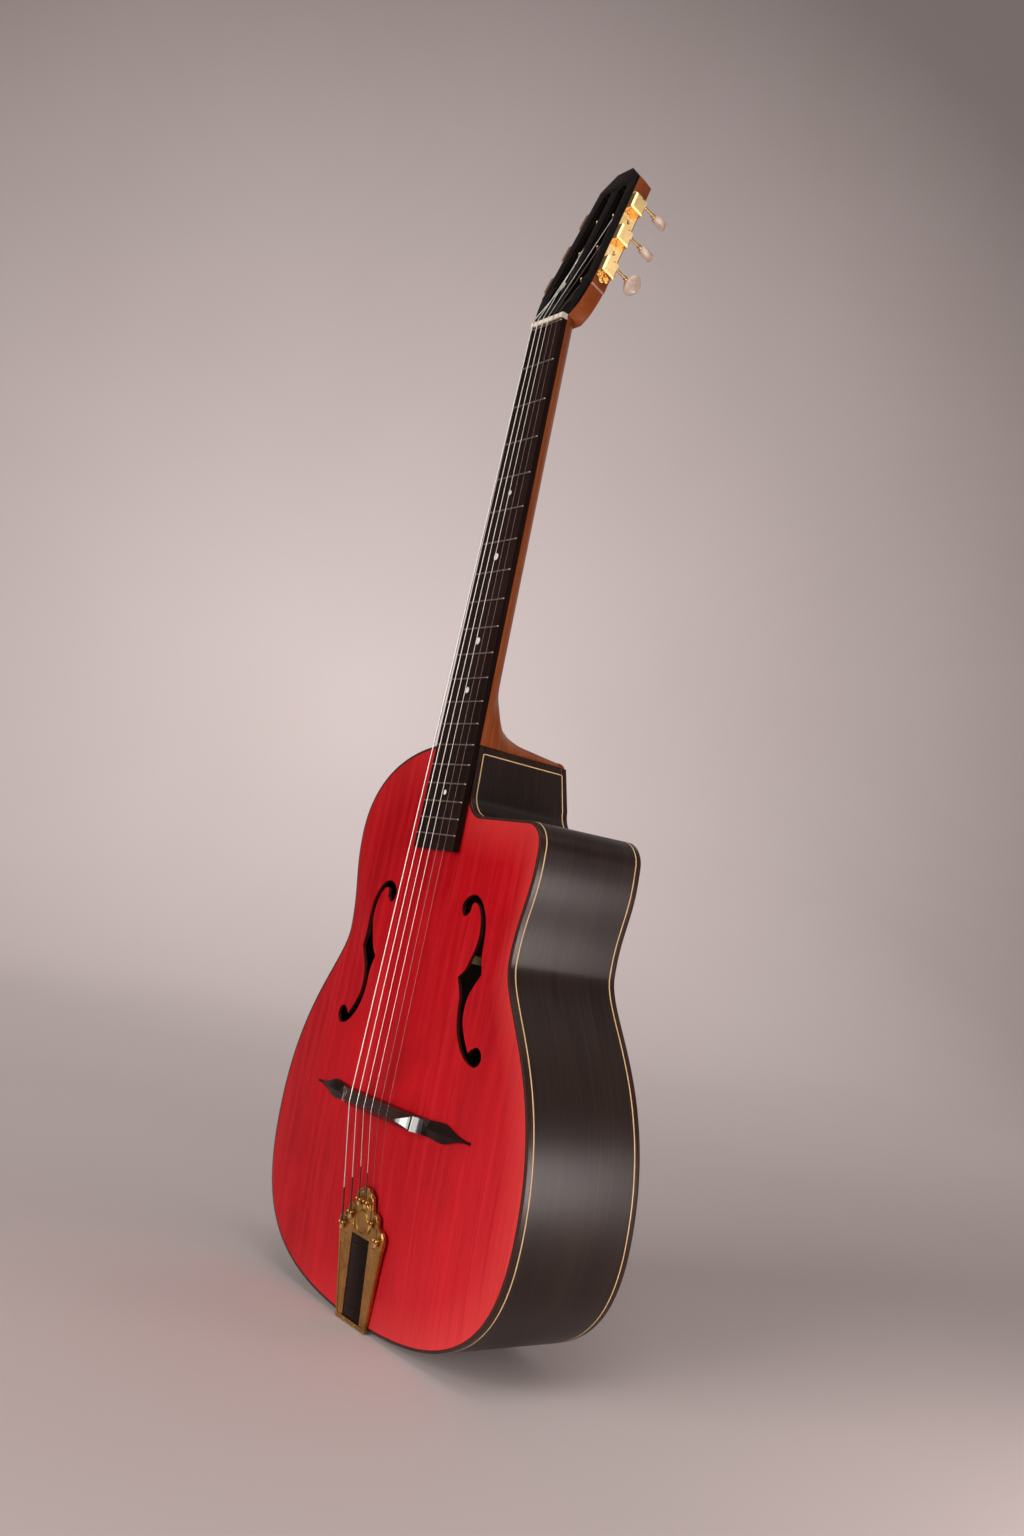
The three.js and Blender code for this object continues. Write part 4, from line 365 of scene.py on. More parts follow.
def ease(table, column, x):
    """Smooth interpolation through a column of a table, by its first column."""
    xs, ys = table[:, 0], table[:, column]
    slopes = np.gradient(ys, xs)
    i = np.clip(np.searchsorted(xs, x) - 1, 0, len(xs) - 2)
    h = xs[i + 1] - xs[i]
    t = np.clip((x - xs[i]) / h, 0, 1)
    return hermite(t, ys[i], ys[i + 1], h * slopes[i], h * slopes[i + 1])


def smooth_loop(points, corners, steps=5):
    """A closed curve through the points, with the numbered corners kept sharp."""
    points, curve = np.array(points), []
    for i in range(len(points)):
        before, a, b, after = (points[(i + d) % len(points)] for d in (-1, 0, 1, 2))
        before = a if i in corners else before
        after = b if i + 1 in corners else after
        reach = np.linalg.norm(b - a)
        slopes = (unit(b - before) * reach, unit(after - a) * reach)
        curve += [hermite(k / steps, a, b, *slopes) for k in range(steps)]
    return np.array(curve)


def plate(loops, front, thickness, bevel=0.3, rounds=1):
    """A flat plate drawn in (x, z), its front at y = front, with holes and bevelled rims."""
    curve = bpy.data.curves.new("shape", "CURVE")
    curve.dimensions, curve.fill_mode = "2D", "BOTH"
    curve.extrude = thickness / 2 - bevel
    curve.bevel_depth, curve.offset, curve.bevel_resolution = bevel, -bevel, rounds
    for loop in loops:
        spline = curve.splines.new("POLY")
        spline.points.add(len(loop) - 1)
        for point, (x, z) in zip(spline.points, loop):
            point.co = (x, z, 0, 1)
        spline.use_cyclic_u = True
    holder = bpy.data.objects.new("shape", curve)
    mesh = bpy.data.meshes.new_from_object(holder)
    work = bmesh.new()
    work.from_mesh(mesh)
    bmesh.ops.remove_doubles(work, verts=work.verts, dist=0.002)
    points = [(v.co.x, front + thickness / 2 + v.co.z, v.co.y) for v in work.verts]
    faces = [[v.index for v in f.verts] for f in work.faces]
    work.free()
    bpy.data.objects.remove(holder)
    bpy.data.meshes.remove(mesh)
    bpy.data.curves.remove(curve)
    return points, faces


def block(low, high, bevel=0.0):
    work = bmesh.new()
    bmesh.ops.create_cube(work, size=1)
    for v in work.verts:
        v.co = [a + (b - a) * (c + 0.5) for a, b, c in zip(low, high, v.co)]
    if bevel:
        bmesh.ops.bevel(work, geom=work.edges[:], offset=bevel, segments=2, affect="EDGES", profile=0.5)
    work.verts.index_update()
    part = [tuple(v.co) for v in work.verts], [[v.index for v in f.verts] for f in work.faces]
    work.free()
    return part


def solid_mesh(name, part):
    """A part in millimetres as a mesh in metres, its faces turned outwards."""
    mesh = bpy.data.meshes.new(name)
    mesh.from_pydata((np.asarray(part[0]) * MM).tolist(), [], part[1])
    work = bmesh.new()
    work.from_mesh(mesh)
    bmesh.ops.recalc_face_normals(work, faces=work.faces)
    work.to_mesh(mesh)
    work.free()
    return mesh


def fibres(mesh, local):
    """The coordinates that the materials read, each with its own axis first."""
    for label, order in ORDERS:
        layer = mesh.attributes.new(label, "FLOAT_VECTOR", "POINT")
        layer.data.foreach_set("vector", np.ascontiguousarray(local[:, order]).ravel())


def put(name, content):
    """A new object in the scene, with its mesh, lamp or camera."""
    thing = bpy.data.objects.new(name, content)
    bpy.context.collection.objects.link(thing)
    return thing


def build(name, part, material, *nodes, at=GUITAR, body="guitar", crease=32, grain=None,
        cuts=(), weighted=False, extra=()):
    """One piece of the model: placed, cut, shaded, and riding on its body."""
    piece = put(name, solid_mesh(name, place(part, at)))
    for finish in (material, *extra):
        piece.data.materials.append(M[finish])
    for cutter in cuts:
        carve(piece, place(cutter, at))
    mesh = piece.data
    if grain is None:
        inverse = np.linalg.inv(np.array(at)[:3, :3])
        fibres(mesh, np.array([v.co for v in mesh.vertices]) @ inverse.T)
    else:
        fibres(mesh, np.asarray(grain) * MM)
    mesh.shade_smooth()
    mesh.set_sharp_from_angle(angle=radians(crease))
    if weighted:
        piece.modifiers.new("normals", "WEIGHTED_NORMAL").keep_sharp = True
    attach(piece, body)
    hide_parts(*nodes)
    return piece


def carve(piece, part):
    cutter = put("cutter", solid_mesh("cutter", part))
    step = piece.modifiers.new("cut", "BOOLEAN")
    step.operation, step.solver, step.object = "DIFFERENCE", "EXACT", cutter
    graph = bpy.context.evaluated_depsgraph_get()
    result = bpy.data.meshes.new_from_object(piece.evaluated_get(graph))
    piece.modifiers.remove(step)
    piece.data = result
    bpy.data.objects.remove(cutter)


def bezier(a, b, c, d, steps):
    t = np.linspace(0, 1, steps + 1)[:, None]
    return (1 - t) ** 3 * a + 3 * t * (1 - t) ** 2 * b + 3 * t**2 * (1 - t) * c + t**3 * d


def arc(centre, radius, start, end, steps):
    """Points on part of a circle, or of an oval when the radius is a pair. Degrees."""
    t = np.radians(np.linspace(start, end, steps + 1))
    return centre + np.stack([np.cos(t), np.sin(t)], 1) * radius


# Body
def outline(y=0.0):
    """The body's outline at a depth, counter-clockwise from the tail, as (x, z)."""
    shift = 11 * y / NECK_DEPTH
    flank, rise, shoulder = WAIST_Z - LOWER_Z, UPPER_Z - WAIST_Z, LENGTH - UPPER_Z
    lower = bezier((0, 0), (LOWER * 0.844, 0), (LOWER, LOWER_Z * 0.415), (LOWER, LOWER_Z), 64)
    middle = bezier((LOWER, LOWER_Z), (LOWER, LOWER_Z + flank * 0.591),
        (WAIST, WAIST_Z - flank * 0.18), (WAIST, WAIST_Z), 48)
    upper = bezier((WAIST, WAIST_Z), (WAIST, WAIST_Z + rise * 0.432),
        (UPPER, UPPER_Z - rise * 0.416), (UPPER, UPPER_Z), 24)
    run = (UPPER - HEEL_FLAT) * 0.064
    crown = bezier((UPPER, UPPER_Z), (UPPER, UPPER_Z + shoulder * 0.881),
        (HEEL_FLAT + run, LENGTH), (HEEL_FLAT, LENGTH), 40)
    shared = np.concatenate([lower, middle[1:], upper[1:]])
    horn = arc((UPPER - CORNER, HORN_Z - CORNER), CORNER, 0, 90, 14)
    floor = np.linspace((UPPER - CORNER, HORN_Z), (HEEL_FLAT + CORNER, HORN_Z), 14)[1:-1]
    bay = arc((HEEL_FLAT + CORNER, HORN_Z + CORNER), CORNER, 270, 180, 14)
    foot, top = np.array((HEEL_FLAT, HORN_Z + CORNER)), np.array((HEEL_FLAT - shift, LENGTH))
    wall = [foot + (top - foot) * s for s in (0.2, 0.4, 0.6, 0.8, 1 - 6.1 / (LENGTH - foot[1]), 1)]
    flat_top = np.linspace(top, (-HEEL_FLAT, LENGTH), 8)[1:-1]
    treble = np.concatenate([shared, horn, floor, bay, wall, flat_top])
    bass = np.concatenate([shared, crown[1:]])[1:][::-1] * (-1, 1)
    return np.concatenate([treble, bass])


def inset(loop, distance):
    ahead = unit(np.roll(loop, -1, 0) - loop)
    behind = np.roll(ahead, 1, 0)
    total = ahead + behind
    reach = distance / (1 + (ahead * behind).sum(1))
    return loop + np.stack([-total[:, 1], total[:, 0]], 1) * reach[:, None]


def depth_at(z):
    return TAIL_DEPTH + (NECK_DEPTH - TAIL_DEPTH) * np.asarray(z) / LENGTH


def share_at(points, loop):
    """How far out points lie, from 0 at the arch's centre to 1 at the outline."""
    centre = np.array((0, ARCH_CENTRE))
    ray = np.asarray(points, float) - centre
    a, b = loop - centre, np.roll(loop, -1, 0) - centre
    edge = b - a
    cross = ray[:, None, 0] * edge[:, 1] - ray[:, None, 1] * edge[:, 0]
    cross = np.where(np.abs(cross) < 1e-9, 1e-9, cross)
    t = (a[:, 0] * edge[:, 1] - a[:, 1] * edge[:, 0]) / cross
    s = (a[:, 0] * ray[:, None, 1] - a[:, 1] * ray[:, None, 0]) / cross
    reach = np.where((t > 0) & (s >= -1e-6) & (s <= 1 + 1e-6), t, 1e9).min(1)
    return np.minimum(1, 1 / reach)


FRONT, BACK = outline(0), outline(NECK_DEPTH)


def top_at(points):
    return -6.5 * (1 - share_at(points, FRONT) ** 2) ** 1.3


def top_y(x, z):
    return float(top_at([(x, z)])[0])


def back_at(points):
    points = np.asarray(points)
    return depth_at(points[:, 1]) + 8 * (1 - share_at(points, BACK) ** 2) ** 1.3


def inside(points, loop):
    x, z = points[:, 0][:, None], points[:, 1][:, None]
    a, b = loop, np.roll(loop, -1, 0)
    crosses = (a[:, 1] > z) != (b[:, 1] > z)
    rise = np.where(b[:, 1] == a[:, 1], 1e-9, b[:, 1] - a[:, 1])
    left = x < a[:, 0] + (z - a[:, 1]) * (b[:, 0] - a[:, 0]) / rise
    return (crosses & left).sum(1) % 2 == 1


def arched_plate(loop, holes, step, front, back):
    """A plate meshed evenly inside its outline, with holes, between two height functions."""
    xs = np.arange(-200, 200, step)
    zs = np.arange(0, 480, step)
    grid = np.array([(x + (k % 2) * step / 2, z) for k, z in enumerate(zs) for x in xs])
    keep = inside(grid, inset(loop, step * 0.45))
    for hole in holes:
        near = np.linalg.norm(grid[:, None] - hole[None], axis=2).min(1) < step * 0.4
        keep &= ~inside(grid, hole) & ~near
    points, edges = list(map(tuple, grid[keep])), []
    for ring in (loop, *holes):
        start = len(points)
        points.extend(map(tuple, ring))
        edges.extend((start + i, start + (i + 1) % len(ring)) for i in range(len(ring)))
    flat, _, tris, *_ = delaunay_2d_cdt([Vector(p) for p in points], edges, [], 0, 1e-4)
    flat = np.array([tuple(p) for p in flat])
    middles = np.array([flat[list(t)].mean(0) for t in tris])
    good = inside(middles, loop)
    for hole in holes:
        good &= ~inside(middles, hole)
    tris = [list(t) for t, g in zip(tris, good) if g]
    count = len(flat)
    skins = [np.stack([flat[:, 0], skin(flat), flat[:, 1]], 1) for skin in (front, back)]
    edges = dict.fromkeys((a, b) for t in tris for a, b in zip(t, t[1:] + t[:1]))
    walls = [[a, b, b + count, a + count] for a, b in edges if (b, a) not in edges]
    faces = tris + [[i + count for i in t][::-1] for t in tris] + walls
    return np.concatenate(skins), faces


def f_hole(side):
    shape = [(side * (50 + 60 * a), LENGTH * 0.4721 + 127 * b) for a, b in F_HOLE]
    return smooth_loop(shape, F_HOLE_CORNERS)


def band(profile):
    """A strip round the body: (inset, share of the depth, extra depth) for each profile point."""
    rings = []
    for inwards, part, extra in profile:
        loop = inset(outline(part * NECK_DEPTH + extra), inwards)
        y = part * depth_at(loop[:, 1]) + extra
        rings.append(np.stack([loop[:, 0], y, loop[:, 1]], 1))
    rings = np.array(rings).transpose(1, 0, 2)
    points, faces = hoop(rings)
    grain = np.stack([np.repeat(run_of(rings[:, 0]), rings.shape[1]), points[:, 1],
        np.tile([p[0] for p in profile], rings.shape[0])], 1)
    return (points, faces), grain


def plate_edge(loop):
    """The loop inset, without the doubled points that this leaves in tight corners."""
    loop = inset(loop, 2.5)
    kept = [loop[0]]
    for p in loop[1:]:
        if np.linalg.norm(p - kept[-1]) > 0.05:
            kept.append(p)
    return np.array(kept)


def darken_above_band(piece, above):
    """The faces between the cutaway's cross line and the heel take the second material."""
    for face in piece.data.polygons:
        spots = [piece.data.vertices[i].co for i in face.vertices]
        low = min(s.z for s in spots) / MM - RAISED
        if low > BAND_Z + above - 0.6 and min(s.x for s in spots) > 0.001:
            face.material_index = 1


def make_top_and_back():
    holes = [f_hole(1), f_hole(-1)]
    top = arched_plate(plate_edge(FRONT), holes, 6, top_at, lambda p: top_at(p) + 2.8)
    piece = build("top_plate", top, "red", "soundboard", crease=50, extra=["red_edge"])
    spots = np.array([(v.co.x, v.co.z - RAISED * MM) for v in piece.data.vertices]) / MM
    layer = piece.data.attributes.new("share", "FLOAT", "POINT")
    layer.data.foreach_set("value", share_at(spots, FRONT))
    for face in piece.data.polygons:
        face.material_index = int(abs(face.normal.y) < 0.3)
    back = arched_plate(plate_edge(BACK), [], 8, lambda p: back_at(p) - 2.6, back_at)
    build("rear_plate", back, "back", "back_plate", crease=50)


def make_rims():
    rounded = [(2.42, 4.9), (2.42, 0.3), (2.1, 0.0), (0.9, 0.0), (0.35, 0.14), (0.08, 0.5),
        (0, 1.0), (0, 4.9)]
    line = [(-0.03, 5.1), (-0.03, 6.05), (1.6, 6.05), (1.6, 5.1)]
    for name, part, sign in (("front", 0, 1), ("back", 1, -1)):
        strip, grain = band([(a, part, sign * h) for a, h in rounded])
        build(f"{name}_binding_strip", strip, "binding", f"{name}_binding", grain=grain)
        strip, grain = band([(a, part, sign * h) for a, h in line])
        piece = build(f"{name}_cream_line", strip, "cream", f"{name}_purfling", grain=grain,
            extra=["binding"])
        darken_above_band(piece, 0.9)
    wall = [(inwards, t, 6.25 * (1 - 2 * t))
        for inwards, start, end, steps in ((0, 0, 1, 14), (2.4, 1, 0, 3))
        for t in np.linspace(start, end, steps)]
    strip, grain = band(wall)
    side = build("side_wall", strip, "side", "side_bass", "side_treble", "side_cutaway",
        grain=grain, crease=60, extra=["binding"])
    darken_above_band(side, 0.2)
    rings = []
    for y in np.linspace(6.2, NECK_DEPTH - 6.2, 9):
        ring = []
        for out, up in ((0.04, 0), (0.04, 0.9), (-1.6, 0.9), (-1.6, 0)):
            share = (BAND_Z + up - HORN_Z - CORNER) / (LENGTH - HORN_Z - CORNER)
            ring.append((HEEL_FLAT - 11 * y / NECK_DEPTH * share + out, y, BAND_Z + up))
        rings.append(ring)
    build("cutaway_cream_line", loft(rings), "cream", "cutaway_purfling")


def dress_cad(names, finish):
    """A CAD node that keeps its shape gets its procedural finish."""
    for name in names:
        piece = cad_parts[name]
        fibres(piece.data, np.array([v.co for v in piece.data.vertices]))
        for slot in piece.material_slots:
            slot.material = M[finish]
        if not piece.material_slots:
            piece.data.materials.append(M[finish])


# Neck and headstock
def board_half(z):
    return JOINT_HALF + (NUT_HALF - JOINT_HALF) * z / NUT_Z


HEEL = np.array([  # share of the depth, of the rise, of the half width
    (0, 1, 1), (0.12, 0.84, 0.99), (0.165, 0.6, 0.97), (0.21, 0.44, 0.92), (0.29, 0.31, 0.85),
    (0.43, 0.21, 0.75), (0.7, 0.14, 0.63), (1, 0.085, 0.52),
])
HEEL_LOW, HEEL_HIGH = 6, NECK_DEPTH - 2.5


def neck_solid(x, y, z):
    """Below zero inside the shaft and heel, blended where they meet. Body coordinates."""
    tilt = radians(NECK_TILT)
    dy, dz = y + 5.5, z - BODY_FRET_Z
    yn = dy * cos(tilt) - dz * sin(tilt)
    zn = dy * sin(tilt) + dz * cos(tilt)
    share = np.clip(zn / NUT_Z, 0, 1)
    half = board_half(np.minimum(zn, NUT_Z))
    deep = 16.5 + (14.5 - 16.5) * share
    shaft = (np.abs(x) / half) ** 2.5 + (np.maximum(yn - 5.3, 0) / deep) ** 2 - 1
    at = np.clip((y - HEEL_LOW) / (HEEL_HIGH - HEEL_LOW), 0, 1)
    rise, wide = 62 * ease(HEEL, 1, at), 27 * ease(HEEL, 2, at)
    heel = (x / wide) ** 2 + ((z - LENGTH) / rise) ** 2 - 1
    heel = np.maximum(heel, (y - HEEL_HIGH) / 3)
    sharp = 7
    both = sum(np.exp(-sharp * np.clip(part, -1, 4)) for part in (shaft, heel))
    return -np.log(both) / sharp


def make_neck():
    tilt = radians(NECK_TILT)
    count = 56
    turn = np.linspace(0, pi, count)
    heights = np.concatenate([LENGTH + 0.3 + 90 * np.linspace(0, 1, 60) ** 1.6,
        np.linspace(LENGTH + 96, LENGTH + 376.5, 50)])
    rings = []
    for z in heights:
        zn = (z - BODY_FRET_Z + 5.3 * sin(tilt)) / cos(tilt)
        y0 = -5.5 + 5.3 * cos(tilt) + zn * sin(tilt)
        low, high = np.full(count, 4.0), np.full(count, 110.0)
        for _ in range(34):
            middle = (low + high) / 2
            value = neck_solid(middle * np.cos(turn), y0 + middle * np.sin(turn), z)
            low, high = np.where(value < 0, middle, low), np.where(value < 0, high, middle)
        x = np.clip(low * np.cos(turn), -board_half(zn), board_half(zn))
        rings.append(np.stack([x, y0 + low * np.sin(turn), np.full(count, z)], 1))
    build("neck_shaft", loft(rings), "mahogany", "neck", crease=45)
    last = arc((0, LENGTH + 0.3), (13.9, 5.2), 0, 180, 39)
    cap = plate([last], NECK_DEPTH - 2.3, 2.3, 0.35)
    build("heel_cap_wood", cap, "mahogany", "heel_cap")


def head_outline():
    flare = bezier((NUT_HALF, 0), (NUT_HALF + 7.4, 6), (HEAD_HALF - 2.6, 17),
        (HEAD_HALF - 1.5, 30.6), 24)
    side = np.concatenate([flare, [(HEAD_HALF - 0.3, 31.8), (TOP_HALF, 153), (10.5, 168)]])
    return np.concatenate([side, side[::-1] * (-1, 1)])


def slot_edge(s):
    """The outer edge of a slot at a height on the head."""
    return HEAD_HALF - (s - 28) * TAPER - 10.5


def slot_outline(side):
    low, high, inner, r = 40, 146, 5.5, 4
    loop = np.concatenate([
        arc((slot_edge(low) - r, low + r), r, 270, 360, 6),
        arc((slot_edge(high) - r - 0.2, high - r), r, 0, 90, 6),
        arc((inner + r, high - r), r, 90, 180, 6), arc((inner + r, low + r), r, 180, 270, 6),
    ])
    return loop * (side, 1)


def make_head():
    loops = [head_outline(), slot_outline(1), slot_outline(-1)]
    ramps = []
    for side in (1, -1):
        sill = slot_edge(52) - 3
        plan = [(5.5, 14, 0), (21, 14, 0), (sill, 52, 8.5), (5.5, 52, 8.5)]
        ramps.append(loft([[(side * x, -3, s) for x, s, _ in plan],
            [(side * x, d, s) for x, s, d in plan]]))
    core = build("head_core", plate(loops, 2.05, 15.25, 0.8, 2), "mahogany", "neck",
        at=HEAD, cuts=ramps, extra=["veneer", "pale_wood_and_highlight"])
    inverse = HEAD.inverted()
    for face in core.data.polygons:
        x, y, s = inverse @ (face.center / MM)
        in_slot = 5 < abs(x) < slot_edge(s) + 0.3 and 13 < s < 146.6 and y < 16.9
        # The downward step on each side of the head, below the machine plates, takes a paler wood:
        # partly its own tone, partly a painted highlight.
        face.material_index = 2 if abs(x) > 33 and 30.8 < s < 31.6 else int(in_slot)
    build("head_veneer", plate(loops, 0, 2.1, 0.55, 2), "veneer", "headstock_veneer",
        at=HEAD, cuts=ramps)


BRIDGE_SPREAD, NUT_SPREAD = 28.7, 18.2


def string_x(i, spread):
    """Where string i + 1 runs, the first string on the treble side."""
    return (1 - 2 * i / 5) * spread


def notches(spread, radii, top, share, low, high, sides):
    """What a file takes out for each string, its depth a share of its radius."""
    return [place(lathe([(r, low), (r, high)], "z", sides),
        moved(string_x(i, spread), top - share * r, 0)) for i, r in enumerate(radii)]


def fret_from_nut(n):
    return SCALE_LENGTH * (1 - 2 ** (-n / 12))


def make_board():
    low, high = NUT_Z - fret_from_nut(20), NUT_Z - 0.1
    rings = []
    for z in (low, low + 0.5, high - 0.2, high):
        half = board_half(z)
        trim = 0.5 if z in (low, high) else 0
        rings.append([(-half + trim, 0, z), (half - trim, 0, z), (half, 0.45, z), (half, 5, z),
            (-half, 5, z), (-half, 0.45, z)])
    build("fretboard_wood", loft(rings), "board", "fretboard", at=NECK)
    frets = []
    bend = np.linspace(-pi / 2, pi / 2, 9)
    heights = np.cos(bend) * -1.05
    for n in range(20):
        z = NUT_Z - (fret_from_nut(n) if n else 2.0)
        half = board_half(z) - 0.15
        stations = [(-half, 0.1), (0.7 - half, 0.85), (1.3 - half, 1)]
        stations += [(-x, tall) for x, tall in stations[::-1]]
        frets.append(loft([
            [(x, 0.2 if i in (0, 8) else tall * heights[i], z + 0.7 * sin(bend[i]))
             for i in range(9)] for x, tall in stations
        ]))
    build("frets", merge(*frets), "fret", "fretboard", at=NECK, crease=50)
    dots = []
    for n, radius in ((5, 2.1), (7, 3.0), (10, 3.0), (12, 2.6), (17, 2.1)):
        z = NUT_Z - (fret_from_nut(n) + fret_from_nut(n - 1)) / 2
        disc = lathe([(0, 0.4), (radius, 0.4), (radius, -0.03), (0, -0.03)], "y", 28)
        dots.append(place(disc, moved(0, 0, z)))
    build("fret_markers", merge(*dots), "pearl", "fretboard", at=NECK)
    shape = [(0, 5), (0, -1.3), (0.5, -1.85), (1.6, -2.0), (3.6, -1.7), (4.7, -0.9), (5, 0), (5, 5)]
    ends = ((-NUT_HALF, 0.6), (0.6 - NUT_HALF, 0), (NUT_HALF - 0.6, 0), (NUT_HALF, 0.6))
    top = loft([[(x, y + (fall if y < 4 else 0), NUT_Z + z) for z, y in shape] for x, fall in ends])
    radii = 0.45 + 0.09 * np.arange(6)
    cuts = notches(NUT_SPREAD, radii, -1.6, 1, NUT_Z - 3, NUT_Z + 8, 10)
    build("nut_bone", top, "bone", "nut", at=NECK, cuts=cuts)


# Tuning machines
TEETH, THREAD = 14, 2.1
POST_Z = [(21 + 36 * k) / cos(atan(TAPER)) for k in range(3)]
POST_Y, GEAR_X, PITCH = 7.9, 5.4, TEETH * THREAD / (2 * pi)
AXIS_GAP = PITCH + 1.7
PLATE_LOW, PLATE_HIGH, PLATE_Y = POST_Z[0] - 13, POST_Z[2] + 17, 8.5
COVER = (  # x, near y, far y, low z, high z about the roller
    (1.2, 1.5, 15.5, -6.7, 10.0), (7.4, 1.7, 15.3, -6.3, 9.7), (8.6, 3.2, 13.9, -5.0, 8.6),
)
BUTTON = np.array([  # share of the length, of the half width, of the half thickness
    (0, 0.28, 0.6), (0.02, 0.36, 0.7), (0.09, 0.52, 0.84), (0.2, 0.76, 0.94), (0.35, 0.94, 0.99),
    (0.52, 1, 1), (0.7, 0.95, 1), (0.85, 0.8, 1), (0.95, 0.58, 0.99), (0.985, 0.44, 0.95),
    (1, 0.3, 0.86),
])


def reach(k):
    return (HEAD_HALF - (21 + 36 * k) * TAPER - 5.5) / cos(atan(TAPER))


def screw_head(y, z):
    """A domed screw head on the side plate."""
    dome = arc((0, 1.7), (2.1, 1), 0, 90, 6)
    return place(lathe([(0, 0.7), (2.1, 0.7), *dome], "x", 20), moved(0, y, z))


def plate_outline():
    """The side plate as (y, z): a scalloped foot, a straight run and a round end."""
    loop = []
    for a in np.linspace(pi, 2 * pi, 41):
        r = 5.6 + cos(5 * (a - 1.5 * pi))
        loop.append((PLATE_Y + r * cos(a), PLATE_LOW + 6 + r * sin(a)))
    loop += [(13, PLATE_LOW + 9), (PLATE_Y + 7, PLATE_LOW + 12)]
    loop += [*arc((PLATE_Y, PLATE_HIGH - 5), (7, 5), 0, 180, 16)]
    return loop + [(PLATE_Y - 7, PLATE_LOW + 12), (4, PLATE_LOW + 9)]


def make_plates():
    flat, faces = plate([plate_outline()], 0, 1.4, 0.25)
    covers = [
        loft([[(x, a, z + c), (x, b, z + c), (x, b, z + d), (x, a, z + d)] for x, a, b, c, d in COVER])
        for z in POST_Z
    ]
    body = merge(([(0.3 + y, x, z) for x, y, z in flat], faces), *covers)
    spots = [(9.5, PLATE_LOW + 3.9), (7.5, PLATE_HIGH - 3.3)]
    spots += [(PLATE_Y, (POST_Z[k] + POST_Z[k + 1] + 3.4) / 2) for k in (0, 1)]
    screws = merge(*(screw_head(y, z) for y, z in spots))
    slots = [block((2.45, y - 1.7, z - 0.25), (4, y + 1.7, z + 0.25)) for y, z in spots]
    # Dark discs set on the covers stand in for holes: painted shade.
    hole = lathe([(0.6, 8.2), (0.6, 8.63), (0.001, 8.63)], "x", 16)
    holes = merge(*(place(hole, moved(0, 9.5, z + 7.9)) for z in POST_Z))
    for at, label in zip(SIDES.values(), LABELS.values()):
        node = f"tuner_plate_{label}"
        build(f"machine_plate_{label}", body, "gold", node, at=at, weighted=True)
        build(f"machine_screws_{label}", screws, "gold", node, at=at, cuts=slots)
        build(f"machine_hole_shade_discs_{label}", holes, "painted_hole_shade", node, at=at)


def gear_wheel():
    rings = []
    for x in np.linspace(4.2, 6.6, 5):
        twist = (x - GEAR_X) / (TEETH * 1.7)
        ring = []
        for i in range(TEETH):
            for share, rise in ((-0.25, -0.85), (-0.11, 0.55), (0.11, 0.55), (0.25, -0.85)):
                a = (i + 0.5 + share) / TEETH * 2 * pi + twist
                ring.append((x, -(PITCH + rise) * sin(a), (PITCH + rise) * cos(a)))
        rings.append(ring)
    return loft(rings)


def worm():
    """The worm on its shaft, with the collar below the button."""
    wall = 15.5 - POST_Y
    profile = [(0, -6), (1.05, -6), (1.05, 5.2), (1.35, 5.4)]
    profile += [(r, wall + y) for r, y in (
        (1.35, 10.1), (2.0, 10.2), (2.1, 10.7), (2.1, 12), (2.0, 12.4), (1.2, 12.5), (1.2, 15.5),
        (0, 15.5),
    )]
    rings = []
    for turn in np.linspace(-1.5, 1.5, 61):
        a = pi + turn * 2 * pi
        rings.append([(r * sin(a), (turn + s) * THREAD, r * cos(a)) for r, s in
            ((0.95, -0.21), (2.2, -0.1), (2.2, 0.1), (0.95, 0.21))])
    return merge(lathe(profile), loft(rings))


def button():
    length, half_width, half_thickness = 13.2, 9.5, 4
    squared = lambda v: np.sign(v) * abs(v) ** 0.9
    rings = []
    for s in np.linspace(0, 1, 26) ** 0.9:
        wide, thick = half_width * ease(BUTTON, 1, s), half_thickness * ease(BUTTON, 2, s)
        rings.append([(wide * squared(cos(a)), s * length, thick * squared(sin(a)))
            for a in circle(32)])
    return loft(rings)


def make_tuners():
    turns = {1: (120, 40, 34), -1: (64, 20, 84)}
    wheel, shaft, knob = gear_wheel(), worm(), button()
    wall = -10.5
    for side, at in SIDES.items():
        for k, z in enumerate(POST_Z):
            number = k + 1 if side > 0 else 6 - k
            far = -reach(k)
            post = lathe([(0, far - 3.4), (3, far - 3.4), (3, far + 0.6), (2.6, far + 1),
                (2.6, wall - 1), (3, wall - 0.6), (3, GEAR_X), (0, GEAR_X)], "x", 28)
            part = place(merge(post, wheel), moved(0, POST_Y, z))
            build(f"roller_post_{number}", part, "gold", f"tuner_roller_{number}", at=at,
                body=f"roller_{number}")
            turning = {"at": at, "body": f"worm_{number}"}
            part = place(shaft, moved(GEAR_X, POST_Y, z + AXIS_GAP))
            build(f"worm_shaft_{number}", part, "gold", f"tuner_worm_{number}", **turning)
            part = place(knob, moved(GEAR_X, 28.3, z + AXIS_GAP) @ turned("Y", turns[side][k]))
            build(f"oval_button_{number}", part, "ivory", f"tuner_button_{number}",
                crease=60, **turning)


# Bridge
CROWN_Y = top_y(0, BRIDGE_Z) - 16.3
WING = np.array([  # share of the length, half width, height
    (0, 6, 5.5), (0.15, 6.6, 5.6), (0.32, 7.4, 5.4), (0.42, 7.3, 5.1), (0.52, 6.0, 4.6),
    (0.62, 4.1, 4.1), (0.72, 2.6, 3.5), (0.82, 1.6, 3.0), (0.91, 1.1, 2.6), (0.955, 1.15, 2.5),
    (0.985, 0.9, 2.3), (1, 0.35, 1.9),
])


def seat(x, z):
    """The underside of the bridge, sunk a little into the arched top."""
    return top_y(x, z) - 0.15


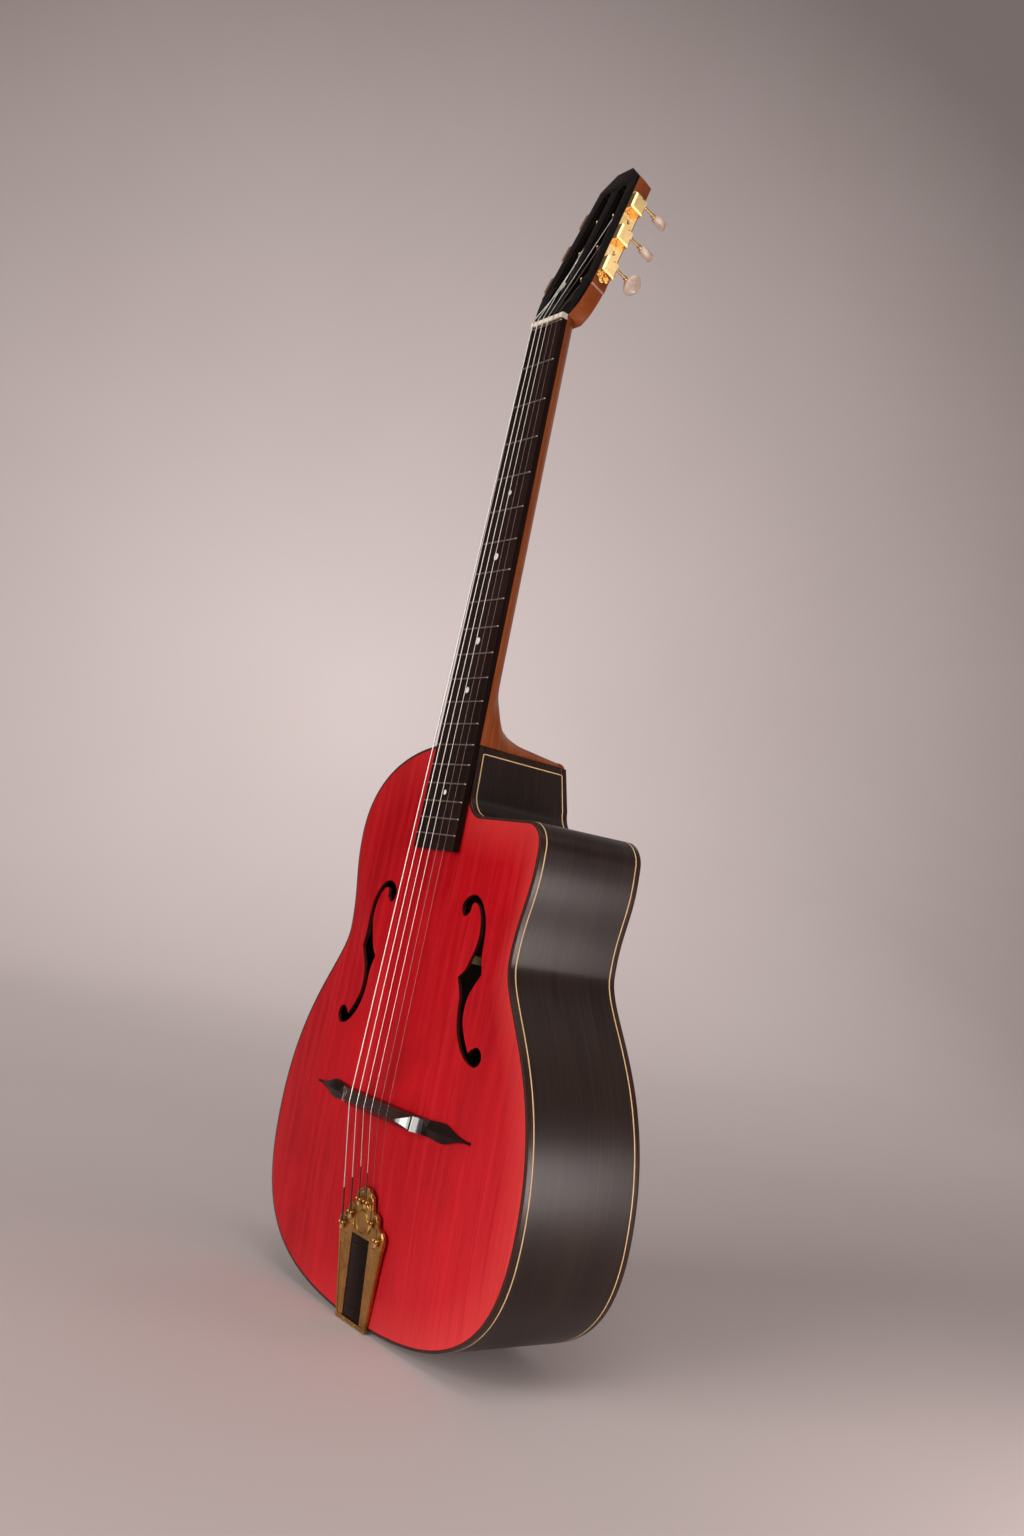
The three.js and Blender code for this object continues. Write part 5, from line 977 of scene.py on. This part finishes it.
def section(x, foot, eaves, top, ridges):
    """Six points across the bridge at x: feet on the top, two eaves and two ridges."""
    near, far = BRIDGE_Z - foot, BRIDGE_Z + foot
    return [(x, seat(x, near), near), (x, eaves[0], near), (x, ridges[0], BRIDGE_Z - top),
        (x, ridges[1], BRIDGE_Z + top), (x, eaves[1], far), (x, seat(x, far), far)]


def roof(x, height, top, eave, lean=0.0):
    crown, low = (seat(x, BRIDGE_Z) - h for h in (height, eave))
    return section(x, 6, (low, low), top, (crown - lean * top, crown + lean * top))


def wing(side):
    rings = []
    for s in np.linspace(0, 1, 44):
        wide, tall = ease(WING, 1, s), ease(WING, 2, s)
        x, root = side * (62.2 + s * 55.8), max(0, 1 - s / 0.1)
        drop = tall * 0.36 * (1 + 1.4 * root)
        eaves = [seat(x, BRIDGE_Z + d) - drop for d in (-wide, wide)]
        crest = seat(x, BRIDGE_Z) - tall
        rings.append(section(x, wide, eaves, min(0.3 + 4 * root, wide * 0.8), (crest, crest)))
    return loft(rings)


def make_bridge():
    height = lambda x: seat(x, BRIDGE_Z) - CROWN_Y
    stations = [(x, height(x), 0.8, 8.5) for x in (0, 8, 16, 24, 32, 40)]
    for t in np.linspace(0.1, 1, 8):
        sag = 1 - (1 - t) ** 1.5
        stations.append((40 + 12 * t, height(40) + (9 - height(40)) * sag, 0.8 + 4.8 * t, 8.5 - t, 0.1))
    for t in np.linspace(0.15, 1, 6):
        stations.append((52 + 9.9 * t, 9 - 3.5 * t**0.8, 5.6, 7.5 - 2.9 * t**0.8, 0.1))
    rings = [roof(-x, *rest) for x, *rest in stations[::-1]]
    rings += [roof(x, *rest) for x, *rest in stations[1:]]
    radii, crest = 0.3 + 0.1 * np.arange(6), CROWN_Y + 0.05
    cuts = notches(BRIDGE_SPREAD, radii, crest, 0.6, BRIDGE_Z - 5, BRIDGE_Z + 5, 8)
    middle = build("bridge_middle", loft(rings), "bridge", "bridge", crease=14, cuts=cuts,
        extra=["polished"])
    for face in middle.data.polygons:
        x, _, z = face.center / MM
        face.material_index = int(40 < abs(x) < 61.8 and abs(z - RAISED - BRIDGE_Z) < 2.8)
    for side, label in LABELS.items():
        build(f"bridge_wing_{label}_wood", wing(side), "wing", f"bridge_wing_{label}", crease=14)
        seam = loft([roof(side * x, 5.58, 5.65, 5.06) for x in (61.85, 62.25)])
        build(f"bridge_seam_{label}", seam, "fret", "bridge", crease=20)


# Tailpiece
HOOK_X, HOOK_Z = (27, 16, 5.3), (72, 83, 96)
SCREWS = ((-10, 13), (10, 13), (0, 28))


def tail_outline():
    right = [(22.6, 0.6), (24.2, 10), (27.2, 30), (30.0, 48), (32.3, 61), (34.3, 69.5)]
    lobes = ((27, 72, -10, 95), (16, 83, -12, 100), (5.3, 96, 2, 62))
    curves = [arc((x, z), 7.6, start, end, 9) for x, z, start, end in lobes]
    side = np.concatenate([right, *curves, arc((0, 101), 6.2, 48, 90, 5)])
    return np.concatenate([side, side[::-1][1:] * (-1, 1)])


def barrel(low, high, axis="x"):
    """A ring with eased rims round an axis."""
    rim = 1.55 if axis == "x" else 1.5
    side = [(0.8, low), (rim, low), (1.7, low + 0.2), (1.7, high - 0.2), (rim, high), (0.8, high)]
    return lathe(side, axis)


def tail_ornaments():
    """The straps' ridges, the balls that hold the strings, beads, an oval medallion and leaves."""
    parts = []
    ball = arc((0, -2.55), (1.5, -1.5), -56.10424, 90, 11)
    hook = lathe([(0, 0.6), (0.9, 0.6), (0.85, -1.4), *ball[:-1], (0, -4.05)], "y", 18)
    bead = lathe([(2.0, -0.9), *arc((0, -1.2), (2.0, -0.55), 0, 90, 5)], "y", 22)
    shares = np.linspace(0, 1, 12)
    for side in (1, -1):
        ridge = []
        for z in np.linspace(6, 64, 20):
            inner, outer = 16.2 + z / 66 * 2.2, 19.0 + z / 66 * 5.4
            ridge.append([(side * x, y, z) for x, y in (
                (inner, -1.1), (inner + 0.5, -1.65), (outer - 0.5, -1.65), (outer, -1.1))])
        parts.append(loft(ridge))
        for x, z in zip(HOOK_X, HOOK_Z):
            parts += [place(hook, moved(side * x + off, -1.2, z)) for off in (-2.4, 2.4)]
            parts.append(place(bead, moved(side * x, 0, z + 4.6)))
        for x0, z0, x1, z1 in ((10.5, 71, 12.5, 78), (9.8, 90, 2.6, 97.5)):
            swell = [sin(pi * t) for t in shares]
            leaf = [(side * (x0 + (x1 - x0) * t), -1.2 - 0.5 * w, z0 + (z1 - z0) * t)
                for t, w in zip(shares, swell)]
            parts.append(tube(leaf, [0.2 + 0.75 * w for w in swell]))
    parts.append(hoop([
        [((8.0 + d) * cos(a), y, 79 + (9.0 + d) * sin(a)) for d, y in
         ((0.9, -1.0), (0.5, -1.75), (-0.1, -2.0), (-0.7, -1.75), (-1.1, -1.0))]
        for a in circle(60)
    ]))
    dome = lathe([(0, -0.9), (1, -0.9), (0.985, -1.45), (0.6, -1.62), (0, -1.66)], "y", 60)
    parts.append(place(dome, moved(0, 0, 79) @ Matrix.Diagonal((7.0, 1, 8.0, 1))))
    return parts


def make_tail():
    loop = tail_outline()
    window = [(-13.7, 1.7), (-13.7, 67.3), (13.7, 67.3), (13.7, 1.7)]
    parts = [plate([loop], 0.1, 1.7, 0.3), plate([loop, window], -1.2, 1.35, 0.5, 2),
        plate([inset(loop, 0.35), inset(loop, 1.9)], -1.75, 0.7, 0.3, 2)]
    parts += tail_ornaments() + [barrel(8.3, 22.6), barrel(-22.6, -8.3)]
    build("tailpiece_brass", merge(*parts), "brass", "tailpiece", at=TAIL, weighted=True, crease=30)
    panel = block((-13.4, -0.75, 2.0), (13.4, 0.75, 67.0), 0.35)
    grooves = [block((-13.6, -1.2, 60.6), (13.6, -0.35, 61.1)),
        block((-13.6, -1.2, 12.0), (13.6, -0.4, 12.35))]
    build("tailpiece_panel", panel, "insert", "tailpiece_insert", at=TAIL, cuts=grooves)
    shape = [(-17, 0.4), (-17, 33), (-14, 36), (14, 36), (17, 33), (17, 0.4)]
    flat, faces = plate([shape], 0, 2, 0.3)
    tongue = block((-8, -2.1, -2.3), (8, 1, -0.35), 0.2)
    knuckle = place(barrel(-8, 8), moved(0, -2.1, -0.6))
    sink = lathe([(3.2, -3), (3.2, -2.0), (1.5, -0.2), (1.5, 1)], "z")
    bracket = merge(([(x, z, y - RAISED) for x, y, z in flat], faces), tongue, knuckle)
    build("tail_bracket_brass", bracket, "brass", "tail_bracket",
        cuts=[place(sink, moved(x, y, 0)) for x, y in SCREWS])
    screw = lathe([(0, -2.28), (2.7, -2.28), (3.0, -2.1), (1.5, -0.3), (1.4, 13), (0, 15)], "z")
    slot = block((-3, -0.3, -2.6), (3, 0.3, -1.7))
    for i, (x, y) in enumerate(SCREWS):
        build(f"bracket_screw_{i + 1}_brass", screw, "brass", f"bracket_screw_{i + 1}",
            at=GUITAR @ moved(x, y, 0), cuts=[slot])


# Strings
RADII = (0.16, 0.2, 0.29, 0.38, 0.49, 0.58)
SILK_LENGTHS = (22, 22, 24, 26, 28, 28)
COIL_STARTS = (9.5, 6.5, 5.5)


def string_path(side, k, i, r):
    """A string's middle line: hook, bridge, nut and the turns on its roller."""
    hook = TAIL @ Vector((side * HOOK_X[k], -3.2, HOOK_Z[k] - 0.6))
    bridge = [GUITAR @ Vector((string_x(i, BRIDGE_SPREAD), CROWN_Y - 0.1 - r, BRIDGE_Z + d))
        for d in (-0.9, 0.9)]
    nut = [NECK @ Vector((string_x(i, NUT_SPREAD), -1.65 - r, NUT_Z + d)) for d in (0, 5)]
    wound, start, coil = 2.7 + r, COIL_STARTS[k] - reach(k), []
    for n in range(2 * 24 + 19):
        a = n / 24 * 2 * pi
        along = start + n / 24 * (2 * r + 0.25) * 0.9
        spot = (along, POST_Y - wound * cos(a), POST_Z[k] + wound * sin(a))
        coil.append(SIDES[side] @ Vector(spot))
    stops = [hook, *bridge, *nut, coil[0]]
    line = []
    for a, b, steps in zip(stops, stops[1:], (30, 3, 60, 3, 12)):
        line += [a + (b - a) * (s / steps) for s in range(steps)]
    return np.array([tuple(p) for p in line + coil])


def make_string(side, k):
    i = k if side > 0 else 5 - k
    r, name = RADII[i], f"string_{i + 1}"
    shared = {"at": Matrix(), "crease": 80}
    path = string_path(side, k, i, r)
    grain = np.zeros((len(path) * 10, 3))
    grain[:, 0] = np.repeat(run_of(path), 10)
    build(f"{name}_wire", tube(path, [r] * len(path)), "wire" if i > 1 else "steel", name,
        grain=grain, **shared)
    begin, ahead = path[0], unit(path[30] - path[0])
    silk = [begin + ahead * d for d in np.linspace(-0.5, SILK_LENGTHS[i], 16)]
    build(f"{name}_silk", tube(silk, [r + 0.13] * 14 + [r + 0.1, r + 0.03]), "silk", name, **shared)
    spot = TAIL @ Vector((side * HOOK_X[k], -3.2, HOOK_Z[k] - 3.3))
    build(f"{name}_ball", barrel(-1.6, 1.6, "z"), "gold", name,
        at=Matrix.Translation(spot) @ turned("X", 4.1))
    for number, way in ((1, 1), (2, -1)):
        bow = [TAIL.to_3x3() @ Vector((way * 1.3 * sin(t * pi), 0, -3.2 * t))
            for t in np.linspace(0, 1, 9)]
        wire = tube([begin + np.array(p) for p in bow], [max(r * 0.8, 0.22)] * 9, 8)
        build(f"{name}_loop_{number}", wire, "steel", name, **shared)


# Stage
def make_stage():
    world = bpy.data.worlds.new("studio")
    bpy.context.scene.world = world
    world.use_nodes = True
    ground = world.node_tree.nodes["Background"]
    ground.inputs["Color"].default_value = (0.92, 0.88, 0.87, 1)
    ground.inputs["Strength"].default_value = 0.2
    profile = [(-4.2, 0.0), *arc((2.2, 1.2), 1.2, -90, 0, 23), (3.4, 6.5)]
    back = Vector((-sin(CAMERA_TURN), cos(CAMERA_TURN), 0))
    across = Vector((cos(CAMERA_TURN), sin(CAMERA_TURN), 0))
    points = [tuple(back * run + across * w + Vector((0, 0, up - 0.0005)))
        for w in (-7, 7) for run, up in profile]
    count = len(profile)
    mesh = bpy.data.meshes.new("backdrop")
    mesh.from_pydata(points, [], [[i, i + 1, i + 1 + count, i + count] for i in range(count - 1)])
    mesh.shade_smooth()
    f = Finish("backdrop_paper", roughness=0.9, specular_ior_level=0.1)
    paper = f.blend(f.noise((1.2, 1.2, 1.2), detail=2), rgb(0xCDC0BE), rgb(0xC5B7B4))
    # The paper glows round a spot behind the guitar, for camera, glossy and transmission rays only: a
    # painted pool of light.
    spot = back * 3.3 - across * 0.35 + Vector((0, 0, 0.9))
    away = f.add("VectorMath", {"operation": "DISTANCE"}, i0=f.read("Object"), i1=spot)
    seen = f.add("LightPath").outputs
    rays = seen["Is Camera Ray"]
    for kind in ("Glossy", "Transmission"):
        rays = f.compute("MAXIMUM", rays, seen[f"Is {kind} Ray"])
    glow = f.span(away.outputs["Value"], 0.1, 3.2, 0.8, 0.05)
    f.feed(f.shader.inputs["Emission Color"], paper)
    f.feed(f.shader.inputs["Emission Strength"], f.product(glow, rays))
    mesh.materials.append(f.finish(paper))
    stage = put("backdrop", mesh)


def lamp(name, spot, target, size, power, color=(1, 0.97, 0.95)):
    light = bpy.data.lights.new(name, "AREA")
    light.shape, light.size, light.size_y = "RECTANGLE", *size
    light.energy, light.color = power, color
    holder = put(name, light)
    holder.location = spot
    holder.visible_camera = False
    holder.rotation_euler = (Vector(target) - Vector(spot)).to_track_quat("-Z", "Y").to_euler()


def make_lights():
    lamp("front", (0.1, -2.4, 1.0), (0, 0, 0.4), (1.8, 2.0), 46)
    lamp("low", (0.45, -1.15, 0.25), (0.1, 0, 0.15), (0.9, 0.3), 3)
    lamp("right", (0.8, 0.41, 0.17), (0.18, 0.03, 0.2), (0.26, 0.28), 2.6, (1, 0.88, 0.87))
    lamp("rear", (1.03, 0.85, 1.68), (0.04, 0.03, 0.93), (0.7, 0.28), 0.7)
    lamp("behind", (-0.5, 2.6, 1.7), (0, 0.1, 0.4), (1.8, 1.8), 7)
    lamp("above", (0.9, -0.6, 2.6), (0, 0, 0.4), (1.2, 1.2), 12)


def make_camera():
    """The camera that was fitted to the photograph, in the guitar's own frame."""
    axis = Vector((1.2971261324, 0.7478643349, -0.5685487465))
    turn = Matrix.Rotation(axis.length, 3, axis)
    pose = Matrix((turn[0], -turn[1], -turn[2])).transposed().to_4x4()
    pose.translation = Vector((932.4171, -593.0812, 344.9174 + RAISED)) * MM
    camera = bpy.data.cameras.new("camera")
    camera.sensor_fit, camera.sensor_width = "AUTO", 36
    camera.lens = 1338.1738 / 1536 * 36
    camera.shift_x, camera.shift_y = -118.3855 / 1536, 20.9673 / 1536
    camera.clip_start, camera.clip_end = 0.01, 50
    holder = put("camera", camera)
    holder.matrix_world = pose
    bpy.context.scene.camera = holder


CAMERA_TURN = atan2(932.4, 593.1)
make_camera()
make_stage()
make_lights()
make_top_and_back()
make_rims()
make_neck()
make_head()
make_board()
make_plates()
make_tuners()
make_bridge()
make_tail()
for side in SIDES:
    for k in range(3):
        make_string(side, k)
dress_cad([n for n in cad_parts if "lining" in n or "bracing" in n], "spruce")
dress_cad(["neck_block", "tail_block"], "inner")
dress_cad(["reinforcing_rod", "tailpiece_pin"], "steel")

bpy.context.scene.view_settings.view_transform = "Standard"
